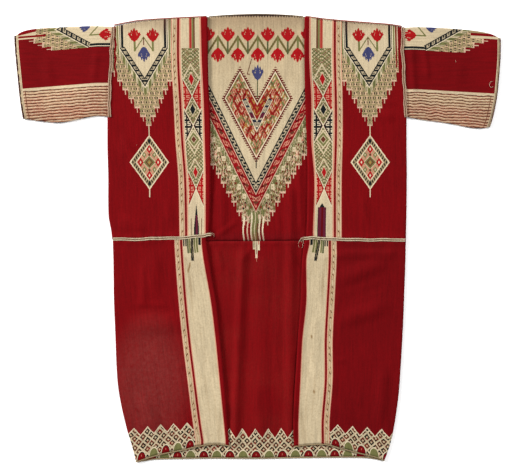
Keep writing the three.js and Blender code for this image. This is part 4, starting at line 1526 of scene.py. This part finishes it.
def tube(line, at, radius, level, sides=6, taper=0.0):
    """Points, faces and layout of a round strand along a line."""
    side, up = frames(line, level)
    angle = np.linspace(0, 2 * np.pi, sides, endpoint=False)
    thin = np.ones(len(line))
    if taper:
        thin = np.clip(np.minimum(at, at[-1] - at) / taper, 0.25, 1)
    ring = np.cos(angle)[None, :, None] * side[:, None] + np.sin(angle)[None, :, None] * up[:, None]
    points = line[:, None] + ring * (radius * thin)[:, None, None]
    count = len(line)
    faces = []
    for i in range(count - 1):
        for k in range(sides):
            m = (k + 1) % sides
            faces.append((i * sides + k, i * sides + m, (i + 1) * sides + m, (i + 1) * sides + k))
    faces.append(tuple(range(sides))[::-1])
    faces.append(tuple((count - 1) * sides + k for k in range(sides)))
    layout = np.stack([np.tile(angle * radius, count), np.repeat(at, sides)], axis=1)
    return points.reshape(-1, 3), faces, layout


def strands_mesh(name, parts, material):
    """One object from many strands."""
    points = []
    faces = []
    layout = []
    base = 0
    for part_points, part_faces, part_layout in parts:
        points.append(part_points)
        layout.append(part_layout)
        faces.extend(tuple(v + base for v in face) for face in part_faces)
        base += len(part_points)
    points = np.concatenate(points)
    # What lies on the floor is pressed flat there.
    points[:, 2] = np.maximum(points[:, 2], STRAND_CLEARANCE)
    layout = np.concatenate(layout)
    mesh = bpy.data.meshes.new(name)
    mesh.from_pydata((points * MM).tolist(), [], faces)
    corner = np.empty(len(mesh.loops), np.int32)
    mesh.loops.foreach_get("vertex_index", corner)
    uv = mesh.uv_layers.new(name="weave")
    uv.data.foreach_set("uv", layout[corner].astype(np.float32).ravel())
    mesh.materials.append(material)
    return smooth_object(name, mesh)


def twisted(points, level, offsets, ply, strand, pitch, step=0.9):
    """Twisted two-ply cords beside each other. Offsets are each cord's place across the line."""
    line, at = resample(points, step)
    side, up = frames(line, level)
    out = []
    for number, offset in enumerate(offsets):
        middle = line + side * offset
        twist = -1 if number % 2 else 1
        for half in (0, np.pi):
            angle = twist * 2 * np.pi * at / pitch + half
            path = middle + side * (ply * np.cos(angle))[:, None] + up * (ply * np.sin(angle))[:, None]
            out.append(tube(path, at, strand, level))
    return out


def finish_piece(obj, nodes):
    """Rides the jacket's body and stands for the plain solids."""
    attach(obj, "root")
    if nodes:
        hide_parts(*nodes)


class JacketSettings(bpy.types.PropertyGroup):
    """What someone would change on another jacket of this kind."""

    strand: FloatProperty(
        name="Cord strand",
        description="Radius of one strand of the seam cords",
        default=0.62 * MM,
        min=0.2 * MM,
        max=1.5 * MM,
        unit="LENGTH",
    )
    twist: FloatProperty(
        name="Cord twist",
        description="Length of one turn of a twisted cord",
        default=5.2 * MM,
        min=2 * MM,
        max=20 * MM,
        unit="LENGTH",
    )
    floor: FloatVectorProperty(
        name="Floor",
        description="Colour of the surface the jacket lies on",
        subtype="COLOR",
        size=3,
        default=(0.98, 0.98, 0.98),
        min=0,
        max=1,
    )


class ABA_OT_upper_width(bpy.types.Operator):
    """Make the upper loom width: both fronts and the back from shoulder to waist"""

    bl_idname = "aba.upper_width"
    bl_label = "Upper loom width"

    def execute(self, context):
        low = (0, WAIST_FRONT, WAIST_BACK)
        high = (446, SHOULDER, SHOULDER)
        cloth = make_width("upper_cloth", UPPER_OUTLINE, BAND_UPPER, low, high, split=UNDERARM)
        cloth.data.materials.append(front_upper("upper_front_left", "left"))
        cloth.data.materials.append(front_upper("upper_front_right", "right"))
        cloth.data.materials.append(back_upper("upper_back"))
        thicken(cloth)
        finish_piece(cloth, ["upper_width"])
        return {"FINISHED"}


class ABA_OT_lower_width(bpy.types.Operator):
    """Make the lower loom width: both fronts and the back from waist to hem"""

    bl_idname = "aba.lower_width"
    bl_label = "Lower loom width"

    def execute(self, context):
        low = (-446, HEM_FRONT, HEM_BACK)
        high = (0, WAIST_FRONT, WAIST_BACK)
        cloth = make_width("lower_cloth", LOWER_OUTLINE, BAND_LOWER, low, high)
        cloth.data.materials.append(front_lower("lower_front_left", "left"))
        cloth.data.materials.append(front_lower("lower_front_right", "right"))
        cloth.data.materials.append(back_lower("lower_back"))
        thicken(cloth)
        finish_piece(cloth, ["lower_width"])
        return {"FINISHED"}


class ABA_OT_sleeves(bpy.types.Operator):
    """Make the two short tube sleeves"""

    bl_idname = "aba.sleeves"
    bl_label = "Sleeves"

    def execute(self, context):
        for side, rows, folds in (
            ("left", SLEEVE_LEFT, FOLDS_SLEEVE_LEFT),
            ("right", SLEEVE_RIGHT, FOLDS_SLEEVE_RIGHT),
        ):
            cloth = make_sleeve(f"sleeve_{side}_cloth", side, rows, folds)
            cloth.data.materials.append(sleeve_finish(f"sleeve_{side}_weave", side))
            thicken(cloth)
            finish_piece(cloth, [f"sleeve_{side}"])
        return {"FINISHED"}


def overcast(path, inward, reach, top, low, pitch, thickness):
    """Slanted stitches over an edge. Each goes from the cloth's upper face round to its lower one."""
    line, at = resample(path, pitch)
    along = np.gradient(line, axis=0)
    along /= np.linalg.norm(along, axis=1)[:, None]
    inward = np.asarray(inward, float)
    out = []
    for number, (point, way) in enumerate(zip(line, along)):
        length = reach * (1 + 0.3 * math.sin(number * 2.4) + 0.2 * math.sin(number * 5.1))
        lean = way * (1.1 + 0.5 * math.sin(number * 1.7))
        stitch = [
            point + inward * length + lean + (0, 0, top - 0.25),
            point + inward * length * 0.4 + lean * 0.4 + (0, 0, top + 0.22),
            point - inward * 0.45 + (0, 0, (top + low) / 2),
            point + inward * length * 0.4 - lean * 0.4 + (0, 0, low + 0.3),
        ]
        curve, place = resample(stitch, 0.9)
        out.append(tube(curve, place, thickness, (0, 0, 1), 5))
    return out


class ABA_OT_seam_cords(bpy.types.Operator):
    """Make the double cords over the waist and armhole seams"""

    bl_idname = "aba.seam_cords"
    bl_label = "Seam cords"

    def execute(self, context):
        settings = context.scene.aba_jacket
        strand = settings.strand / MM
        pitch = settings.twist / MM
        cream = cord_finish("waist_cord_yarn", CREAM_LIGHT, THREAD_TAN)
        pink = cord_finish("armhole_cord_yarn", BLUSH, BROWN)
        dull = cord_finish("couching_yarn", THREAD_TAN, BROWN, lay=0.8)
        for side in ("left", "right"):
            fold = float(read(UPPER_OUTLINE, "y", 0, f"fold_{side}"))
            edge = float(read(UPPER_OUTLINE, "y", 0, f"edge_{side}"))
            inward = 1 if side == "left" else -1
            x = np.linspace(fold + inward * FOLD_DEPTH, edge + inward * 5, 40)
            y = read(WAIST_FRONT, "x", x, "y") + 0.35 * np.sin(x * 0.13)
            z = np.maximum(front_height(UPPER_OUTLINE, x, y + 2), front_height(LOWER_OUTLINE, x, y - 2))
            z = z + CLOTH / 2 + 2 * strand - 0.4
            double_cord(f"waist_cord_{side}", np.stack([x, y, z], axis=1), strand, pitch, cream, dull)
            y = np.linspace(432, UNDERARM, 40)
            waver = 0.6 * np.sin(y * 0.11) + 0.3 * np.sin(y * 0.29)
            x = read(ARMHOLE, "y", y, side) + waver
            z = np.full_like(y, CLOTH + 2 * FOLD_RADIUS + 2 * strand - 0.2)
            double_cord(f"armhole_cord_{side}", np.stack([x, y, z], axis=1), strand, pitch, pink, dull)
        return {"FINISHED"}


def double_cord(name, path, strand, pitch, light, dull):
    """Two pale twisted cords side by side, with a dull one sunk between them."""
    up = (0, 0, 1)
    parts = twisted(path, up, (-2.05, 2.05), strand * 0.95, strand, pitch)
    bright = strands_mesh(f"{name}_strands", parts, light)
    finish_piece(bright, [name])
    sunk = path - (0, 0, strand * 0.9)
    core = strands_mesh(f"{name}_core", twisted(sunk, up, (0,), strand * 0.9, strand, pitch * 1.4), dull)
    finish_piece(core, [])


# Where the shoulder seams begin and end, and the neck edge between them.
SHOULDER_SEAMS = (("left", -294, -105), ("right", 99, 296))
NECK = (-99.5, 93.5)


class ABA_OT_bindings(bpy.types.Operator):
    """Make the cords and threads that bind the cuffs, shoulders, neck and hem"""

    bl_idname = "aba.bindings"
    bl_label = "Edge bindings"

    def execute(self, context):
        dark = cord_finish("cuff_yarn", BROWN, THREAD_DARK, lay=0.8, flecks=CREAM_DUSKY)
        shoulder = cord_finish("shoulder_yarn", ROSE, THREAD_DARK, lay=0.85)
        neck = cord_finish("neck_yarn", CREAM_DUSKY, THREAD_DARK, lay=0.6)
        stitch = cord_finish("overcast_yarn", THREAD_DARK, BLACK)
        olive = cord_finish("hem_yarn", CREAM_DUSKY, THREAD_TAN, lay=0.7)
        for side, rows in (("left", SLEEVE_LEFT), ("right", SLEEVE_RIGHT)):
            cord = strands_mesh(
                f"cuff_binding_{side}_strands",
                twisted(cuff_path(side, rows), (1, 0, 0), (0,), 0.66, 0.68, 3.6),
                dark,
            )
            finish_piece(cord, [f"cuff_binding_{side}"])
        for side, start, end in SHOULDER_SEAMS:
            x = np.linspace(start, end, 30)
            y = read(SHOULDER, "x", x, "y")
            z = (back_height(x, y) + front_height(UPPER_OUTLINE, x, y)) / 2
            path = np.stack([x, y + 1.3, z + 0.5], axis=1)
            cord = strands_mesh(
                f"shoulder_cord_{side}_strands",
                twisted(path, (0, 0, 1), (0,), 0.85, 0.85, 4.4),
                shoulder,
            )
            finish_piece(cord, [f"shoulder_cord_{side}"])
            top = front_height(UPPER_OUTLINE, x, y) + CLOTH / 2
            edge = np.stack([x, y, np.zeros_like(x)], axis=1)
            high = float(np.mean(top))
            parts = overcast(edge, (0, -1, 0), 2.6, high, 0.6, 3.1, 0.34)
            sewn = strands_mesh(f"shoulder_stitches_{side}", parts, stitch)
            finish_piece(sewn, [])
        x = np.linspace(*NECK, 30)
        edge = np.stack([x, read(SHOULDER, "x", x, "y"), np.zeros_like(x)], axis=1)
        path = edge + (0, 0.9, 1.0)
        cord = strands_mesh(
            "neck_cord_strands", twisted(path, (0, 0, 1), (0,), 0.5, 0.55, 3.0), neck
        )
        finish_piece(cord, ["neck_cord"])
        top = float(np.mean(back_height(x, edge[:, 1]))) + CLOTH / 2
        parts = overcast(edge, (0, -1, 0), 3.0, top, 0.2, 4.3, 0.45)
        sewn = strands_mesh("neck_stitches", parts, stitch)
        finish_piece(sewn, [])
        cord = strands_mesh(
            "hem_cord_strands", twisted(hem_path(), (0, 1, 0), (0,), 0.75, 0.78, 4.6, step=1.1), olive
        )
        finish_piece(cord, ["hem_cord"])
        return {"FINISHED"}


def cuff_path(side, rows):
    """Round a cuff, against the ends of both layers."""
    out = -1 if side == "left" else 1
    low = 1.2
    high = CLOTH / 2 + CLOTH + CUFF_GAP
    radius = (high - low) / 2
    top = float(read(rows, "along", 1, "top")) - FOLD_DEPTH
    bottom = float(read(rows, "along", 1, "bottom")) + FOLD_DEPTH
    turn = np.linspace(-np.pi / 2, np.pi / 2, 7)[1:-1]
    y = np.concatenate(
        [
            np.linspace(bottom, top, 24),
            top + radius * np.cos(turn),
            np.linspace(top, bottom, 24),
            bottom - radius * np.cos(turn),
            [bottom],
        ]
    )
    z = np.concatenate(
        [
            np.full(24, low),
            low + radius * (1 + np.sin(turn)),
            np.full(24, high),
            low + radius * (1 - np.sin(turn)),
            [low],
        ]
    )
    return np.stack([read(CUFF, "y", y, side) + out * 1.3, y, z], axis=1)


def hem_path():
    """Along the left front's hem, round the fold, under the back's edge, and up the right one."""
    down = 1.4
    low = 1.25

    def front(x):
        y = read(HEM_FRONT, "x", x, "y") - down
        z = np.maximum(front_height(LOWER_OUTLINE, x, y), back_height(x, y) + CLOTH / 2 + 1.4)
        return np.stack([x, y, z], axis=1)

    def corner(side, out):
        y = read(HEM_FRONT, "x", out * 300, "y")
        fold = float(read(LOWER_OUTLINE, "y", y, f"fold_{side}")) - out * FOLD_DEPTH
        start = front(np.array([fold]))[0]
        end_y = float(read(HEM_BACK, "x", fold, "y")) - down
        angle = np.linspace(np.pi / 2, -np.pi / 2, 7)
        radius = (start[2] - low) / 2
        share = (1 + np.sin(angle)) / 2
        return np.stack(
            [
                fold + out * radius * np.cos(angle),
                mix(end_y, start[1], share),
                low + radius * (1 + np.sin(angle)),
            ],
            axis=1,
        )

    left = corner("left", -1)
    right = corner("right", 1)[::-1]
    x = np.linspace(left[-1][0], right[0][0], 60)[1:-1]
    floor_line = np.stack([x, read(HEM_BACK, "x", x, "y") - down, np.full_like(x, low)], axis=1)
    return np.concatenate(
        [
            front(np.linspace(-59, left[0][0], 26)[:-1]),
            left,
            floor_line,
            right,
            front(np.linspace(right[-1][0], 76, 26)[1:]),
        ]
    )


# Loose threads: points in millimetres, placed at the ends of the waist cords, at the right
# cuff, and at two spots where a thread has caught.
LOOSE_THREADS = (
    ((-97, 9, 7), (-93, 10, 6.4), (-90, 9, 4.4), (-88, 6.5, 3)),
    ((-97, 8, 7), (-92, 7, 5.6), (-89.5, 5, 3.4), (-90, 1, 2.4)),
    ((96, -1, 6.6), (93, 1, 6), (90, 0, 4), (87.4, -5, 2.6), (88, -12, 2.4)),
    ((96, -2, 6.6), (92, -4, 5), (91, -9, 3.4), (93, -16, 2.8), (91, -21, 2.6)),
    ((96, -1, 6.6), (91, -1, 4.8), (86, -6, 3), (84, -14, 2.4), (86, -20, 2.4)),
    ((96, -2, 6.6), (94, -6, 5), (94.5, -11, 3.4), (90, -15, 2.6)),
    ((483, 322, 5.4), (478, 320, 6.4), (476, 314, 6.6), (479, 309, 6.2), (484, 311, 5.6)),
    ((406.4, 365, 5.4), (406.8, 363, 6.0), (407, 360, 5.4)),
    ((-249, 192, 5.2), (-248.4, 191, 5.9), (-247.8, 190, 5.3)),
)


class ABA_OT_loose_threads(bpy.types.Operator):
    """Make the frayed ends and the loose threads"""

    bl_idname = "aba.loose_threads"
    bl_label = "Loose threads"

    def execute(self, context):
        yarn = cord_finish("loose_yarn", CREAM_LIGHT, THREAD_TAN)
        parts = []
        for points in LOOSE_THREADS:
            line, at = resample(points, 0.8)
            parts.append(tube(line, at, 0.3, (0, 0, 1), 5, taper=2.0))
        threads = strands_mesh("loose_threads", parts, yarn)
        finish_piece(threads, [])
        return {"FINISHED"}


# The stage, in metres.
FLOOR_HALF = 6.0
FLOOR_LEVEL = -0.0002
CORNERS = ((-1, -1), (1, -1), (1, 1), (-1, 1))
LAMP_SETTINGS = (
    ("key", (-4.0, 2.3, 1.8), 536, 1.6),
    ("fill", (4.2, 3.2, 4.2), 329, 2.0),
    ("foot", (0.5, -5.5, 4.0), 125, 2.4),
)
SKY = 0.36  # strength of the even light from all round
VIEW_WIDTH = 1.0513  # as much floor as the picture shows across
VIEW_MIDDLE = (-0.0031, 0.0010)
FACE = 0.004  # height of the cloth's face
LENS = 100
SENSOR = 36


class ABA_OT_stage(bpy.types.Operator):
    """Lay the floor and set the lights and the camera"""

    bl_idname = "aba.stage"
    bl_label = "Floor, lights and camera"

    def execute(self, context):
        scene = context.scene
        settings = scene.aba_jacket
        mesh = bpy.data.meshes.new("floor")
        points = [(x * FLOOR_HALF, y * FLOOR_HALF, FLOOR_LEVEL) for x, y in CORNERS]
        mesh.from_pydata(points, [], [(0, 1, 2, 3)])
        floor = placed("floor", mesh)
        paper = Finish("floor_paper")
        paper.paint((*settings.floor, 1.0))
        paper.close(0.9, 0.0)
        mesh.materials.append(paper.material)
        for name, place, watts, width in LAMP_SETTINGS:
            light = bpy.data.lights.new(name, "AREA")
            light.energy = watts
            light.size = width
            lamp = placed(name, light)
            lamp.location = place
            lamp.rotation_euler = (-Vector(place)).to_track_quat("-Z", "Y").to_euler()
        world = bpy.data.worlds.new("studio")
        world.use_nodes = True
        world.node_tree.nodes["Background"].inputs[0].default_value = (1, 1, 1, 1)
        world.node_tree.nodes["Background"].inputs[1].default_value = SKY
        scene.world = world
        camera_data = bpy.data.cameras.new("camera")
        camera_data.lens = LENS
        camera_data.sensor_width = SENSOR
        camera_data.sensor_fit = "HORIZONTAL"
        camera = placed("camera", camera_data)
        camera.location = (*VIEW_MIDDLE, VIEW_WIDTH * LENS / SENSOR + FACE)
        scene.camera = camera
        scene.view_settings.view_transform = "Standard"
        scene.view_settings.look = "None"
        return {"FINISHED"}


OPERATORS = (
    ABA_OT_stage,
    ABA_OT_upper_width,
    ABA_OT_lower_width,
    ABA_OT_sleeves,
    ABA_OT_seam_cords,
    ABA_OT_bindings,
    ABA_OT_loose_threads,
)


class ABA_PT_panel(bpy.types.Panel):
    """Buttons for the jacket's pieces"""

    bl_idname = "ABA_PT_panel"
    bl_label = "Aba jacket"
    bl_space_type = "VIEW_3D"
    bl_region_type = "UI"
    bl_category = "Jacket"

    def draw(self, context):
        settings = context.scene.aba_jacket
        for name in ("strand", "twist", "floor"):
            self.layout.prop(settings, name)
        for operator in OPERATORS:
            self.layout.operator(operator.bl_idname)


CLASSES = (JacketSettings, *OPERATORS, ABA_PT_panel)


def register():
    for item in CLASSES:
        bpy.utils.register_class(item)
    bpy.types.Scene.aba_jacket = PointerProperty(type=JacketSettings)


def unregister():
    del bpy.types.Scene.aba_jacket
    for item in reversed(CLASSES):
        bpy.utils.unregister_class(item)


def main():
    register()
    for operator in OPERATORS:
        getattr(bpy.ops.aba, operator.bl_idname.split(".")[1])()


if __name__ == "__main__":
    main()
